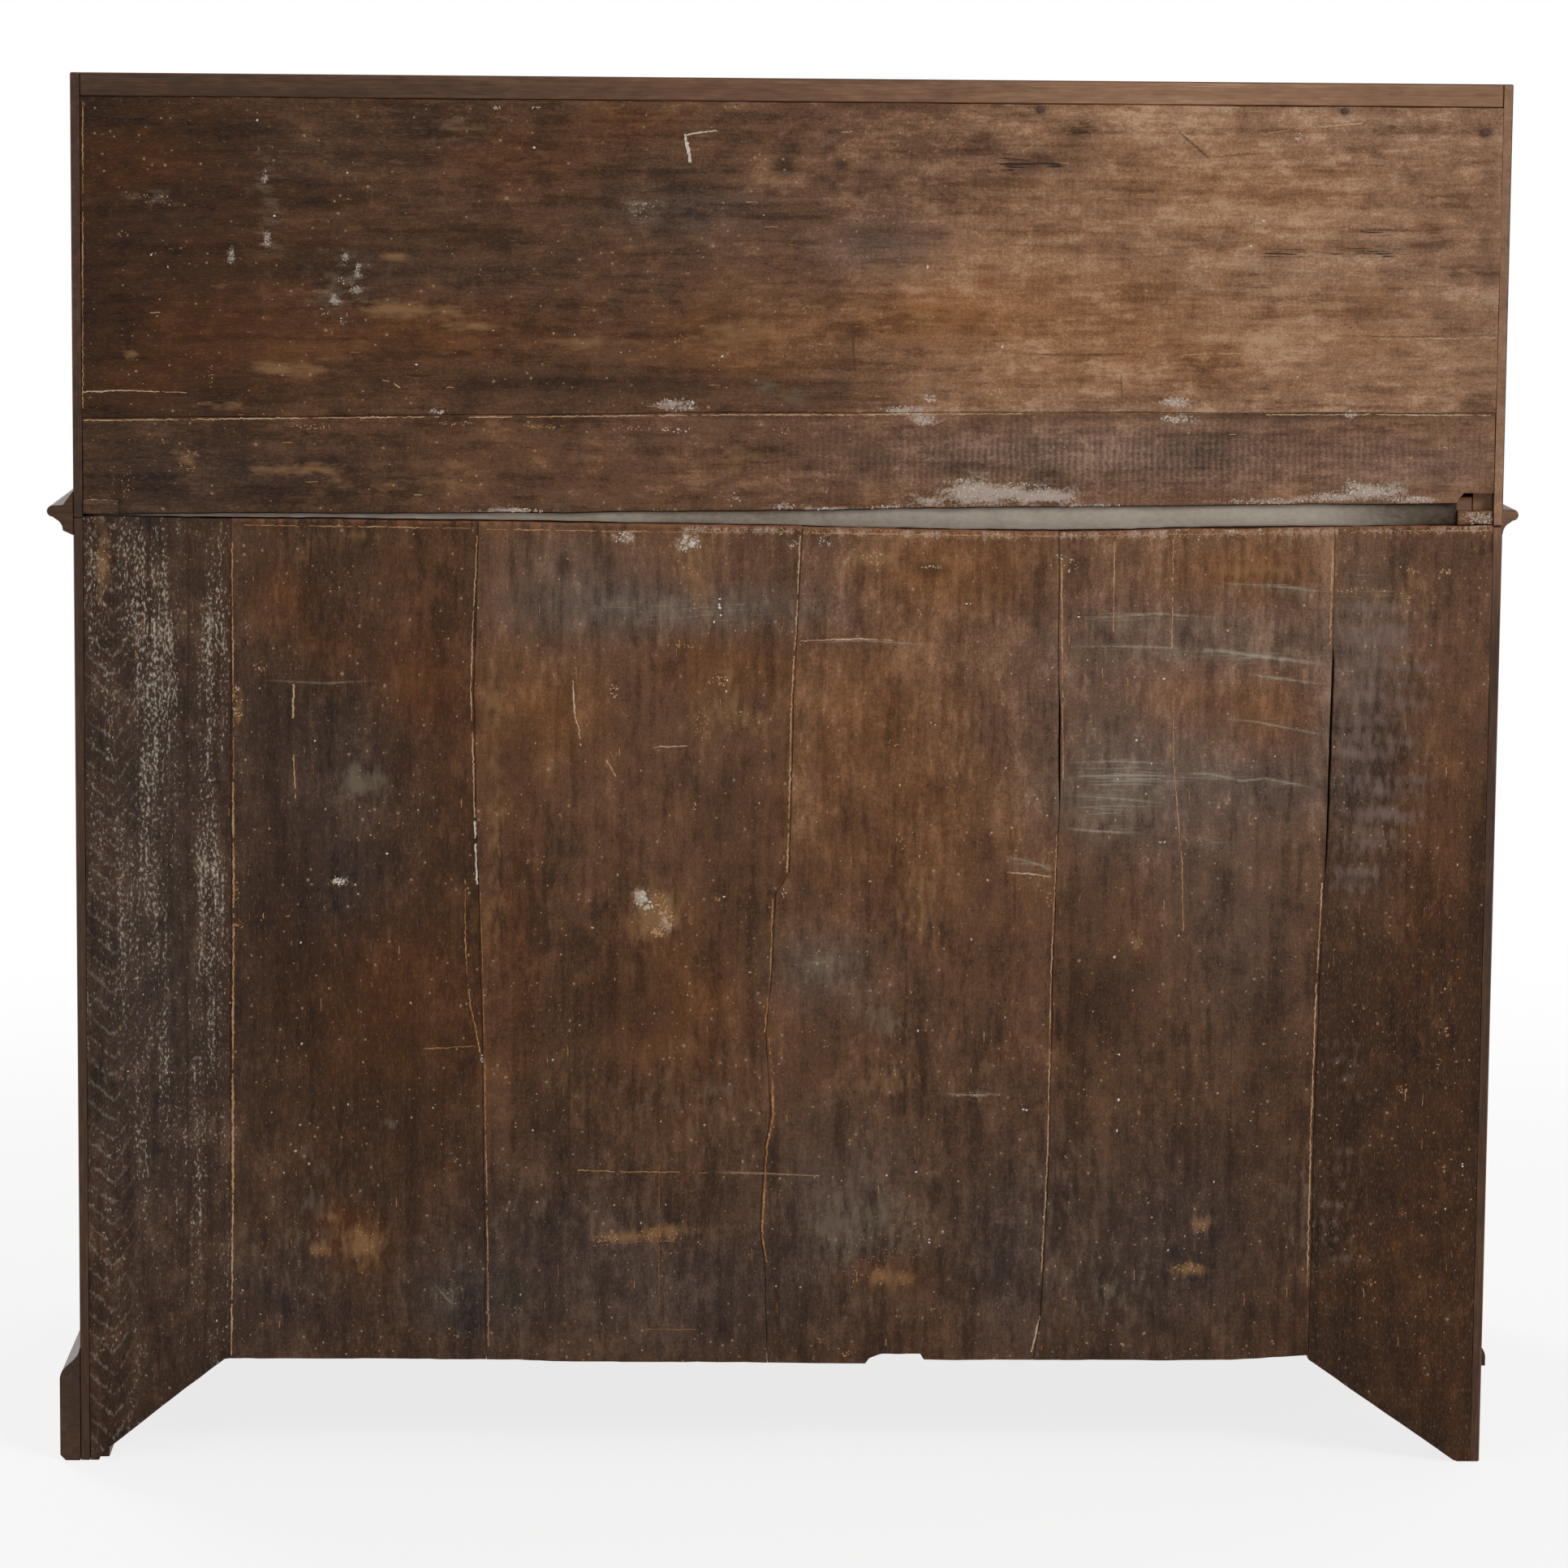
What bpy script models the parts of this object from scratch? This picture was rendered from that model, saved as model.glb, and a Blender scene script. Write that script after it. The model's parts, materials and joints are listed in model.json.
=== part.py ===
"""Fall-front desk: a sloping desk standing on a chest of drawers.

Metres, +Z up, floor at zero, front towards -Y. Left and right are as seen from the front.
"""
import math

import bmesh
import bpy
from mathutils import Matrix

# Case sizes
CASE_WIDTH = 1.020
CASE_DEPTH = 0.500
TOTAL_HEIGHT = 1.000
DESK_HEIGHT = 0.314
CASE_BOTTOM = 0.079
SIDE_THICK = 0.020
SIDE_LIP = 0.0065
TOP_THICK = 0.0165
LEG_DEPTH = 0.055
HOUSING_DEPTH = 0.005

# Fits
GAP = 0.0003
ARRIS = 0.0008
CUT_OVERRUN = 0.010
LIP_LOW_STEP = 0.0006

# Boards of the chest
CHEST_TOP_THICK = 0.022
DUSTBOARD_THICK = 0.014
CHEST_BOTTOM_THICK = 0.016
BOTTOM_BOARD_RISE = 0.002
TOP_OPENING = 0.160
MIDDLE_OPENING = 0.180

# Boards of the back; the seams lean a little, as old tapered boards do
BACK_THICK = 0.011
SEAM_GAP = 0.0008
STILE_TOP_RIGHT = 0.1035
STILE_TOP_LEFT = 0.1145
STILE_BOTTOM_RIGHT = 0.1025
STILE_BOTTOM_LEFT = 0.1210
SEAM_SHARES_TOP = (0.224, 0.515, 0.753)
SEAM_SHARES_BOTTOM = (0.237, 0.495, 0.744)
BOARD_TOP_DROPS = (0.0030, 0.0055, 0.0085, 0.0100, 0.0075, 0.0045)
WAIST_BOARD_TOP_RIGHT = 0.068
WAIST_BOARD_TOP_LEFT = 0.081
WAIST_BOARD_LIFT_RIGHT = 0.002
WAIST_BOARD_LIFT_LEFT = 0.008
WAIST_NOTCH_WIDTH = 0.028
WAIST_NOTCH_HEIGHT = 0.017
TOE_WIDTH_RIGHT = 0.0145
TOE_WIDTH_LEFT = 0.0100
TOE_HEIGHT_RIGHT = 0.0095
TOE_HEIGHT_LEFT = 0.0030

# Mouldings
WAIST_NOSE_REACH = 0.0187
WAIST_NOSE_RADIUS = 0.0040
WAIST_NOSE_HEIGHT = 0.0047
WAIST_SPLAY_TOP = 0.0187
WAIST_SPLAY_REACH = 0.0075
WAIST_COVE_RADIUS = 0.0090
WAIST_COVE_REACH = 0.0075
WAIST_COVE_START = 115
WAIST_FOOT = 0.0124
WAIST_LOST_END = 0.045
BASE_THICK = 0.0148
BASE_HEIGHT = 0.083
BASE_OGEE_HEIGHT = 0.022
BASE_OGEE_BEND = 0.75
BASE_TOE_ROUND = 0.004
BASE_LOST_END = 0.075
FOOT_WIDTH = 0.085
BRACKET_WIDTH = 0.150
APRON_HEIGHT = 0.054

# Desk
DESK_BOTTOM_THICK = 0.0203
LOPER_HEIGHT = 0.049
LOPER_WIDTH = 0.022
LOPER_LENGTH = 0.360
LOPER_CLEAR = 0.0005
GUIDE_THICK = 0.012
FRIEZE_THICK = 0.018
BED_THICK = 0.020
BED_FRONT_STRIP = 0.055
BED_REAR_STRIP = 0.045
WELL_HALF = 0.340
SLIDE_TOP_THICK = 0.005
SLIDE_TONGUE_THICK = 0.005
SLIDE_TONGUE_REACH = 0.006
SLIDE_CLEAR = 0.0005
SLIDE_LAP = 0.012
SLIDE_HOLE_RADIUS = 0.011
SLIDE_HOLE_INSET = 0.025

# Fall
SLOPE = math.radians(43.0)
FALL_BODY = 0.0130
FALL_LIP = 0.0067
FALL_LIP_OVER = 0.008
FALL_LIP_TO_TOP = 0.006
FALL_END_CLEAR = 0.0010
FALL_SIDE_CLEAR = 0.0010
FALL_EDGE_ROUND = 0.0050
HINGE_SETOUT = 0.0008
HINGE_INSET = 0.160
HINGE_LENGTH = 0.050
HINGE_LEAF_REACH = 0.028
HINGE_LEAF_THICK = 0.0018
HINGE_LEAF_SHARE = 0.92
HINGE_KNUCKLE_RADIUS = 0.0032
HINGE_PIN_RADIUS = 0.0014
HINGE_PIN_CLEAR = 0.0004
HINGE_CLEAR = 0.0005

# Nest of small drawers and pigeonholes
NEST_CLEAR = 0.008
NEST_FLOOR_THICK = 0.006
NEST_BOARD = 0.007
NEST_DRAWER_HEIGHT = 0.058
NEST_DRAWER_BACK_CLEAR = 0.0594
NEST_DRAWER_CLEAR = 0.0008
NEST_DRAWER_WALL = 0.006
NEST_DRAWER_FRONT = 0.010
NEST_CURVE = 0.030
ARCADE_HEIGHT = 0.034
ARCADE_THICK = 0.006
ARCADE_RISE = 0.022
ARCHES_PER_BAY = 2
ARCH_FULLNESS = 0.7
ARCH_STEPS = 8

# Long drawers
DRAWER_BODY = 0.0130
DRAWER_LIP = 0.0070
DRAWER_LIP_OVER = 0.006
DRAWER_LIP_CLEAR = 0.0004
DRAWER_EDGE_ROUND = 0.0050
DRAWER_SIDE_CLEAR = 0.0015
DRAWER_TOP_CLEAR = 0.0025
DRAWER_WALL = 0.009
DRAWER_FLOOR_THICK = 0.007
DRAWER_FLOOR_RISE = 0.006
DRAWER_BACK_CLEAR = 0.015
DRAWER_BACK_DROP = 0.008
TAIL_LENGTH = 0.009
TAIL_FLARE = 0.0035
TAIL_PITCH = 0.044
TAIL_SHARE = 0.55

# Handles
HANDLE_INSET = 0.190
PLATE_HALF_WIDTH = 0.056
PLATE_HALF_HEIGHT = 0.034
PLATE_THICK = 0.0016
PLATE_LOBE = 0.13
PLATE_STEPS = 40
POST_SPACING = 0.064
POST_REACH = 0.0140
POST_HEAD_RADIUS = 0.0055
POST_NECK_RADIUS = 0.0032
POST_FOOT_RADIUS = 0.0060
POST_NECK_END = 0.80
POST_HEAD_SHARES = ((-0.40, 0.90), (0.0, 1.0), (0.60, 0.80), (1.0, 0.30))
POST_RISE_SHARE = 0.30
POST_STEPS = 12
BAIL_RADIUS = 0.0021
BAIL_BORE_CLEAR = 0.0004
BAIL_DROP = 0.030
BAIL_SHOULDER = 0.008
BAIL_BEND_STEPS = 4
BAIL_SWAG_STEPS = 8

# Turned pulls of the lopers and small drawers
KNOB_RADIUS = 0.0075
KNOB_NECK_RADIUS = 0.0040
KNOB_LENGTH = 0.0150
KNOB_NECK_SHARE = 0.38
KNOB_HEAD_SHARES = ((0.50, 0.90), (0.62, 1.00), (0.84, 0.82), (1.00, 0.34))
KNOB_STEPS = 14

# How finely curves are drawn
BARREL_STEPS = 16
PIN_STEPS = 10
OGEE_STEPS = 8
LIP_STEPS = 3
NOSE_STEPS = 8
COVE_STEPS = 5

# Levels and planes that follow from the sizes
CASE_HALF = CASE_WIDTH / 2
INNER_HALF = CASE_HALF - SIDE_THICK
RABBET_HALF = CASE_HALF - SIDE_LIP
WAIST = TOTAL_HEIGHT - DESK_HEIGHT
WAIST_SEAM_RIGHT = WAIST + WAIST_BOARD_TOP_RIGHT
WAIST_SEAM_LEFT = WAIST + WAIST_BOARD_TOP_LEFT
HANDLE_X = INNER_HALF - HANDLE_INSET
HINGE_X = INNER_HALF - HINGE_INSET
FRONT_REACH = DRAWER_LIP_CLEAR + DRAWER_LIP + POST_REACH + POST_HEAD_RADIUS
Y_BACK = (CASE_DEPTH + FRONT_REACH) / 2
Y_FRONT = Y_BACK - CASE_DEPTH
Y_INNER = Y_BACK - BACK_THICK
BOARD_REAR = Y_INNER - GAP
TOP_UNDER = TOTAL_HEIGHT - TOP_THICK
CHEST_TOP_UNDER = WAIST - CHEST_TOP_THICK
BOTTOM_BOARD_LOW = CASE_BOTTOM + BOTTOM_BOARD_RISE
BOTTOM_BOARD_HIGH = BOTTOM_BOARD_LOW + CHEST_BOTTOM_THICK
UPPER_DUST_HIGH = CHEST_TOP_UNDER - TOP_OPENING
UPPER_DUST_LOW = UPPER_DUST_HIGH - DUSTBOARD_THICK
LOWER_DUST_HIGH = UPPER_DUST_LOW - MIDDLE_OPENING
LOWER_DUST_LOW = LOWER_DUST_HIGH - DUSTBOARD_THICK
DESK_BOTTOM_LOW = WAIST + GAP
DESK_BOTTOM_HIGH = DESK_BOTTOM_LOW + DESK_BOTTOM_THICK
LOPER_LOW = DESK_BOTTOM_HIGH + GAP
LOPER_HIGH = LOPER_LOW + LOPER_HEIGHT
FALL_THICK = FALL_BODY + GAP + FALL_LIP
BED_UNDER = LOPER_HIGH + LOPER_CLEAR
BED_TOP = BED_UNDER + max(BED_THICK, FALL_THICK)
AXIS_Y = Y_FRONT - HINGE_SETOUT
GUIDE_OUTER = INNER_HALF - LOPER_WIDTH - 2 * LOPER_CLEAR
SLOPE_TO_TOP = (TOTAL_HEIGHT - BED_TOP - FALL_BODY * math.cos(SLOPE)) / math.sin(SLOPE)
FALL_LENGTH = SLOPE_TO_TOP - FALL_LIP_TO_TOP - FALL_LIP_OVER
Y_NEST = AXIS_Y + (TOP_UNDER - BED_TOP) / math.tan(SLOPE) + NEST_CLEAR
NEST_FLOOR_HIGH = BED_TOP + GAP + NEST_FLOOR_THICK
SHELF_LOW = NEST_FLOOR_HIGH + NEST_DRAWER_HEIGHT
SHELF_HIGH = SHELF_LOW + NEST_BOARD
NEST_MIDDLE = (Y_NEST + BOARD_REAR) / 2
BAY_WIDTH = (2 * INNER_HALF - 2 * NEST_BOARD) / 3
SLIDE_START = Y_FRONT + BED_FRONT_STRIP + SLIDE_CLEAR
SLIDE_END = Y_NEST + SLIDE_LAP
HINGE_THIRD = HINGE_LENGTH / 6

OAK = ((0.105, 0.050, 0.024), 0.42, 0.0)
BACK_WOOD = ((0.050, 0.030, 0.020), 0.75, 0.0)
LINING = ((0.200, 0.125, 0.070), 0.65, 0.0)
BRASS = ((0.560, 0.380, 0.130), 0.32, 1.0)


def material_of(name, finish_of):
    """A material of a piece's own, from its colour, roughness and metallic share."""
    colour, roughness, metallic = finish_of
    material = bpy.data.materials.new(name)
    material.use_nodes = True
    shader = material.node_tree.nodes["Principled BSDF"]
    shader.inputs["Base Color"].default_value = (*colour, 1.0)
    shader.inputs["Roughness"].default_value = roughness
    shader.inputs["Metallic"].default_value = metallic
    return material


def finish(name, bm, finish_of, arris=0.0):
    """Turn a bmesh into a named object with its own material and, if asked, softened arrises."""
    bmesh.ops.recalc_face_normals(bm, faces=bm.faces)
    mesh = bpy.data.meshes.new(name)
    bm.to_mesh(mesh)
    bm.free()
    mesh.materials.append(material_of(name, finish_of))
    made = bpy.data.objects.new(name, mesh)
    bpy.context.scene.collection.objects.link(made)
    if arris:
        bevel = made.modifiers.new("softened arrises", "BEVEL")
        bevel.width = arris
        bevel.segments = 1
        bevel.limit_method = "ANGLE"
    return made


def helper(name, bm):
    """A hidden solid that another piece is cut by or joined with."""
    made = finish(name, bm, OAK)
    made.hide_render = True
    made.display_type = "WIRE"
    return made


def combine(made, other, operation):
    """Join a hidden solid to a piece, or cut it away."""
    modifier = made.modifiers.new(other.name, "BOOLEAN")
    modifier.operation = operation
    modifier.solver = "EXACT"
    modifier.object = other


def boxes(*corners):
    """A bmesh of boxes, each given as (x0, x1, y0, y1, z0, z1)."""
    bm = bmesh.new()
    for x0, x1, y0, y1, z0, z1 in corners:
        centre = ((x0 + x1) / 2, (y0 + y1) / 2, (z0 + z1) / 2)
        size = (abs(x1 - x0), abs(y1 - y0), abs(z1 - z0))
        matrix = Matrix.Translation(centre) @ Matrix.Diagonal((*size, 1.0))
        bmesh.ops.create_cube(bm, size=1.0, matrix=matrix)
    return bm


def skin(bm, rings):
    """Add a closed skin through rings of equal count, with both ends filled."""
    rows = [[bm.verts.new(point) for point in ring] for ring in rings]
    count = len(rows[0])
    bm.faces.new(rows[0])
    bm.faces.new(rows[-1])
    for low, high in zip(rows, rows[1:]):
        for i in range(count):
            j = (i + 1) % count
            bm.faces.new((low[i], low[j], high[j], high[i]))
    return bm


def prism(outline, axis, start, end, bm=None):
    """An outline carried along one axis: (y, z) along X, (x, z) along Y or (x, y) along Z."""
    place = {
        "X": lambda a, b, t: (t, a, b),
        "Y": lambda a, b, t: (a, t, b),
        "Z": lambda a, b, t: (a, b, t),
    }[axis]
    rings = [[place(a, b, t) for a, b in outline] for t in (start, end)]
    return skin(bm or bmesh.new(), rings)


def circle(centre, radius, steps, start=0.0):
    """Points round a circle in a plane."""
    turns = [start + 2 * math.pi * i / steps for i in range(steps)]
    return [(centre[0] + radius * math.cos(t), centre[1] + radius * math.sin(t)) for t in turns]


def arc(centre, radius, start, end, steps):
    """Points along an arc, angles in degrees."""
    turns = [math.radians(start + (end - start) * i / steps) for i in range(steps + 1)]
    return [(centre[0] + radius * math.cos(t), centre[1] + radius * math.sin(t)) for t in turns]


def ogee(share, bend):
    """Height of a double curve from 0 to 1 at a share of its length."""
    return share - bend * math.sin(2 * math.pi * share) / (2 * math.pi)


def turned(bm, profile, x, y, z, steps):
    """A piece turned about a line towards the front: profile of (reach forward, radius)."""
    rings = [
        [(x + a, y - reach, z + b) for a, b in circle((0.0, 0.0), radius, steps)]
        for reach, radius in profile
    ]
    return skin(bm, rings)


def knob_profile(start):
    """A small turned pull: a neck that swells into a domed head."""
    profile = [(start, KNOB_NECK_RADIUS), (KNOB_LENGTH * KNOB_NECK_SHARE, KNOB_NECK_RADIUS)]
    profile += [(KNOB_LENGTH * reach, KNOB_RADIUS * swell) for reach, swell in KNOB_HEAD_SHARES]
    return profile


def board(name, x0, x1, y0, y1, z0, z1, finish_of=OAK):
    """A plain board with softened arrises."""
    return finish(name, boxes((x0, x1, y0, y1, z0, z1)), finish_of, ARRIS)


def lipped_rings(left, right, low, high, body, lip, over, rounding, place):
    """Rings of a slab whose outer layer laps over (left, right, low, high) and has a rounded edge."""
    def ring(grow, inset, depth):
        x0 = left - grow * over[0] + inset
        x1 = right + grow * over[1] - inset
        b0 = low - grow * over[2] + inset
        b1 = high + grow * over[3] - inset
        return [place(x, b, depth) for x, b in ((x0, b0), (x1, b0), (x1, b1), (x0, b1))]

    rings = [ring(0, 0.0, 0.0), ring(0, 0.0, body), ring(1, 0.0, body)]
    for i in range(LIP_STEPS + 1):
        turn = math.pi / 2 * i / LIP_STEPS
        depth = body + lip - rounding * (1 - math.sin(turn))
        rings.append(ring(1, rounding * (1 - math.cos(turn)), depth))
    return rings


def on_slope(along, out):
    """The (y, z) of a point along the closed fall and out from its inner face."""
    y = AXIS_Y + along * math.cos(SLOPE) - out * math.sin(SLOPE)
    z = BED_TOP + along * math.sin(SLOPE) + out * math.cos(SLOPE)
    return y, z


def make_upper_sides():
    """Side boards of the desk, with the slope, a rabbet for the back and top and a housing for the bed."""
    top_corner = on_slope(SLOPE_TO_TOP, FALL_BODY)
    knee = (HINGE_SETOUT + FALL_BODY * math.sin(SLOPE)) / math.cos(SLOPE)
    outline = [
        (Y_FRONT, DESK_BOTTOM_LOW),
        (Y_BACK, DESK_BOTTOM_LOW),
        (Y_BACK, TOTAL_HEIGHT),
        top_corner,
        on_slope(knee, FALL_BODY),
    ]
    for side, name in ((-1, "left"), (1, "right")):
        made = finish(
            f"upper_side_{name}",
            prism(outline, "X", side * INNER_HALF, side * CASE_HALF),
            OAK,
            ARRIS,
        )
        inside = side * (INNER_HALF - CUT_OVERRUN)
        rabbet = side * RABBET_HALF
        housing = side * (INNER_HALF + HOUSING_DEPTH)
        low, high = DESK_BOTTOM_LOW - CUT_OVERRUN, TOTAL_HEIGHT + CUT_OVERRUN
        cuts = (
            (inside, rabbet, BOARD_REAR, Y_BACK + CUT_OVERRUN, low, high),
            (inside, rabbet, Y_FRONT, Y_BACK + CUT_OVERRUN, TOP_UNDER - GAP, high),
            (inside, housing, Y_FRONT - CUT_OVERRUN, Y_BACK, BED_UNDER - GAP, BED_TOP + GAP),
        )
        for number, cut in enumerate(cuts):
            combine(made, helper(f"upper_{name}_cut_{number}", boxes(cut)), "DIFFERENCE")


def make_top_board():
    """Top of the desk; its front edge is rebated for the closed fall."""
    seat = FALL_LENGTH + FALL_END_CLEAR
    under = (TOP_UNDER - BED_TOP - seat * math.sin(SLOPE)) / math.cos(SLOPE)
    outline = [
        (Y_BACK, TOP_UNDER),
        (Y_BACK, TOTAL_HEIGHT),
        on_slope(SLOPE_TO_TOP, FALL_BODY),
        on_slope(seat, FALL_BODY),
        on_slope(seat, under),
    ]
    half = RABBET_HALF - GAP
    finish("top_board", prism(outline, "X", -half, half), OAK, ARRIS)


def make_chest_sides():
    """Side boards of the chest, with legs, a rabbet for the back and housings for the boards."""
    levels = (
        (CHEST_TOP_UNDER, WAIST + CUT_OVERRUN),
        (UPPER_DUST_LOW, UPPER_DUST_HIGH),
        (LOWER_DUST_LOW, LOWER_DUST_HIGH),
        (BOTTOM_BOARD_LOW, BOTTOM_BOARD_HIGH),
    )
    for side, name in ((-1, "left"), (1, "right")):
        inner, outer = side * INNER_HALF, side * CASE_HALF
        made = board(f"chest_side_{name}", inner, outer, Y_FRONT, Y_BACK, 0.0, WAIST)
        inside = side * (INNER_HALF - CUT_OVERRUN)
        housing = side * (INNER_HALF + HOUSING_DEPTH)
        outside = side * (CASE_HALF + CUT_OVERRUN)
        below, above = -CUT_OVERRUN, WAIST + CUT_OVERRUN
        cuts = [
            (inside, side * RABBET_HALF, BOARD_REAR, Y_BACK + CUT_OVERRUN, below, above),
            (inside, outside, Y_FRONT + LEG_DEPTH, Y_BACK - LEG_DEPTH, below, CASE_BOTTOM),
        ]
        for low, high in levels:
            cuts.append((inside, housing, Y_FRONT - CUT_OVERRUN, Y_BACK, low - GAP, high + GAP))
        for number, cut in enumerate(cuts):
            combine(made, helper(f"chest_{name}_cut_{number}", boxes(cut)), "DIFFERENCE")


def make_chest_boards():
    """Boards housed in the chest's sides, one above another."""
    half = INNER_HALF + HOUSING_DEPTH - GAP
    levels = (
        ("chest_top_board", CHEST_TOP_UNDER, WAIST),
        ("upper_dustboard", UPPER_DUST_LOW, UPPER_DUST_HIGH),
        ("lower_dustboard", LOWER_DUST_LOW, LOWER_DUST_HIGH),
        ("chest_bottom_board", BOTTOM_BOARD_LOW, BOTTOM_BOARD_HIGH),
    )
    for name, low, high in levels:
        board(name, -half, half, Y_FRONT, BOARD_REAR, low, high)


def make_upper_back():
    """Two horizontal boards that close the back of the desk; the lower one is worn short and notched."""
    half = RABBET_HALF - GAP
    seam = SEAM_GAP / 2
    wide = [
        (-half, WAIST_SEAM_LEFT + seam),
        (half, WAIST_SEAM_RIGHT + seam),
        (half, TOP_UNDER - GAP),
        (-half, TOP_UNDER - GAP),
    ]
    finish("upper_backboard", prism(wide, "Y", Y_INNER, Y_BACK), BACK_WOOD)
    notch = -half + WAIST_NOTCH_WIDTH
    low_left = WAIST + WAIST_BOARD_LIFT_LEFT
    narrow = [
        (-half, low_left + WAIST_NOTCH_HEIGHT),
        (notch, low_left + WAIST_NOTCH_HEIGHT),
        (notch, low_left),
        (half, WAIST + WAIST_BOARD_LIFT_RIGHT),
        (half, WAIST_SEAM_RIGHT - seam),
        (-half, WAIST_SEAM_LEFT - seam),
    ]
    finish("waist_backboard", prism(narrow, "Y", Y_INNER, Y_BACK), BACK_WOOD)


def seam_places(right_stile, left_stile, shares):
    """Where the upright seams lie at one level: beside the stiles, and at shares of the width between."""
    right, left = RABBET_HALF - right_stile, left_stile - RABBET_HALF
    return [right] + [right + (left - right) * share for share in shares] + [left]


def make_lower_back():
    """Four upright boards between two stiles whose slanting feet stand on the floor."""
    half = RABBET_HALF - GAP
    seam = SEAM_GAP / 2
    tops = seam_places(STILE_TOP_RIGHT, STILE_TOP_LEFT, SEAM_SHARES_TOP)
    feet = seam_places(STILE_BOTTOM_RIGHT, STILE_BOTTOM_LEFT, SEAM_SHARES_BOTTOM)
    for number in range(len(tops) - 1):
        drop = BOARD_TOP_DROPS[number + 1]
        outline = [
            (tops[number] - seam, WAIST - drop),
            (feet[number] - seam, CASE_BOTTOM),
            (feet[number + 1] + seam, CASE_BOTTOM),
            (tops[number + 1] + seam, WAIST - drop),
        ]
        finish(f"backboard_{number + 1}", prism(outline, "Y", Y_INNER, Y_BACK), BACK_WOOD)
    stiles = (
        ("right", 1, 0, TOE_WIDTH_RIGHT, TOE_HEIGHT_RIGHT),
        ("left", -1, -1, TOE_WIDTH_LEFT, TOE_HEIGHT_LEFT),
    )
    for name, side, end, toe, toe_height in stiles:
        top = WAIST - BOARD_TOP_DROPS[end]
        outline = [
            (tops[end] + side * seam, top),
            (side * half, top),
            (side * half, 0.0),
            (side * (half - toe), 0.0),
            (side * (half - toe), toe_height),
            (feet[end] + side * seam, CASE_BOTTOM),
        ]
        finish(f"back_stile_{name}", prism(outline, "Y", Y_INNER, Y_BACK), BACK_WOOD)


def waist_profile():
    """Section of the waist moulding as (reach out, height): a splay, a round nose and a cove."""
    nose = (WAIST_NOSE_REACH - WAIST_NOSE_RADIUS, WAIST + WAIST_NOSE_HEIGHT)
    ledge = WAIST + WAIST_NOSE_HEIGHT + WAIST_NOSE_RADIUS
    cove_bottom = WAIST - WAIST_COVE_RADIUS
    cove = (WAIST_COVE_REACH + WAIST_COVE_RADIUS, cove_bottom)
    profile = [(GAP, WAIST + WAIST_SPLAY_TOP), (WAIST_SPLAY_REACH, ledge + GAP)]
    profile += arc(nose, WAIST_NOSE_RADIUS, 90, -90, NOSE_STEPS)
    profile += arc(cove, WAIST_COVE_RADIUS, WAIST_COVE_START, 180, COVE_STEPS)
    profile.append((GAP, WAIST - WAIST_FOOT))
    return profile


def base_profile():
    """Section of the base board: an ogee along its top, an upright face and a worn toe."""
    profile = [(GAP, 0.0), (GAP, BASE_HEIGHT)]
    for i in range(1, OGEE_STEPS + 1):
        share = i / OGEE_STEPS
        swell = ogee(share, BASE_OGEE_BEND)
        profile.append((GAP + (BASE_THICK - GAP) * swell, BASE_HEIGHT - BASE_OGEE_HEIGHT * share))
    profile.append((BASE_THICK, BASE_TOE_ROUND))
    profile.append((BASE_THICK - BASE_TOE_ROUND, 0.0))
    return profile


def make_waist_moulding():
    """Moulding mitred round the front and both sides; the left return is worn short at the back."""
    left_end = Y_BACK - WAIST_LOST_END
    profile = waist_profile()
    rings = [
        [(-CASE_HALF - p, left_end, z) for p, z in profile],
        [(-CASE_HALF - p, Y_FRONT - p, z) for p, z in profile],
        [(CASE_HALF + p, Y_FRONT - p, z) for p, z in profile],
        [(CASE_HALF + p, Y_BACK, z) for p, z in profile],
    ]
    finish("waist_moulding", skin(bmesh.new(), rings), OAK)


def bracket_cut(start, end, rear_foot):
    """Outline taken out of a base board between its feet, as (along, height), with ogee shoulders."""
    rise = []
    for i in range(OGEE_STEPS + 1):
        share = i / OGEE_STEPS
        along = FOOT_WIDTH + (BRACKET_WIDTH - FOOT_WIDTH) * share
        rise.append((along, APRON_HEIGHT * ogee(share, 1.0)))
    outline = [(start + FOOT_WIDTH, -CUT_OVERRUN)]
    outline += [(start + a, b) for a, b in rise]
    if rear_foot:
        outline += [(end - a, b) for a, b in reversed(rise)]
        outline.append((end - FOOT_WIDTH, -CUT_OVERRUN))
    else:
        outline += [(end + CUT_OVERRUN, APRON_HEIGHT), (end + CUT_OVERRUN, -CUT_OVERRUN)]
    return outline


def make_base():
    """Base boards with bracket feet, mitred at the front corners; the left one has lost its rear foot."""
    profile = base_profile()
    mitre = GAP / 2
    front = [
        [(side * (CASE_HALF + p - mitre), Y_FRONT - p, z) for p, z in profile]
        for side in (-1, 1)
    ]
    made = finish("base_front", skin(bmesh.new(), front), OAK)
    reach = CASE_HALF + BASE_THICK
    outline = bracket_cut(-reach, reach, True)
    cutter = prism(outline, "Y", Y_FRONT - BASE_THICK - CUT_OVERRUN, Y_FRONT + CUT_OVERRUN)
    combine(made, helper("base_front_cut", cutter), "DIFFERENCE")
    for side, name, end in ((-1, "left", Y_BACK - BASE_LOST_END), (1, "right", Y_BACK)):
        rings = [
            [(side * (CASE_HALF + p), Y_FRONT - p + mitre, z) for p, z in profile],
            [(side * (CASE_HALF + p), end, z) for p, z in profile],
        ]
        made = finish(f"base_{name}", skin(bmesh.new(), rings), OAK)
        outline = bracket_cut(Y_FRONT - BASE_THICK, end, side > 0)
        start = side * (CASE_HALF - CUT_OVERRUN)
        cutter = prism(outline, "X", start, side * (reach + CUT_OVERRUN))
        combine(made, helper(f"base_{name}_cut", cutter), "DIFFERENCE")


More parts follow.
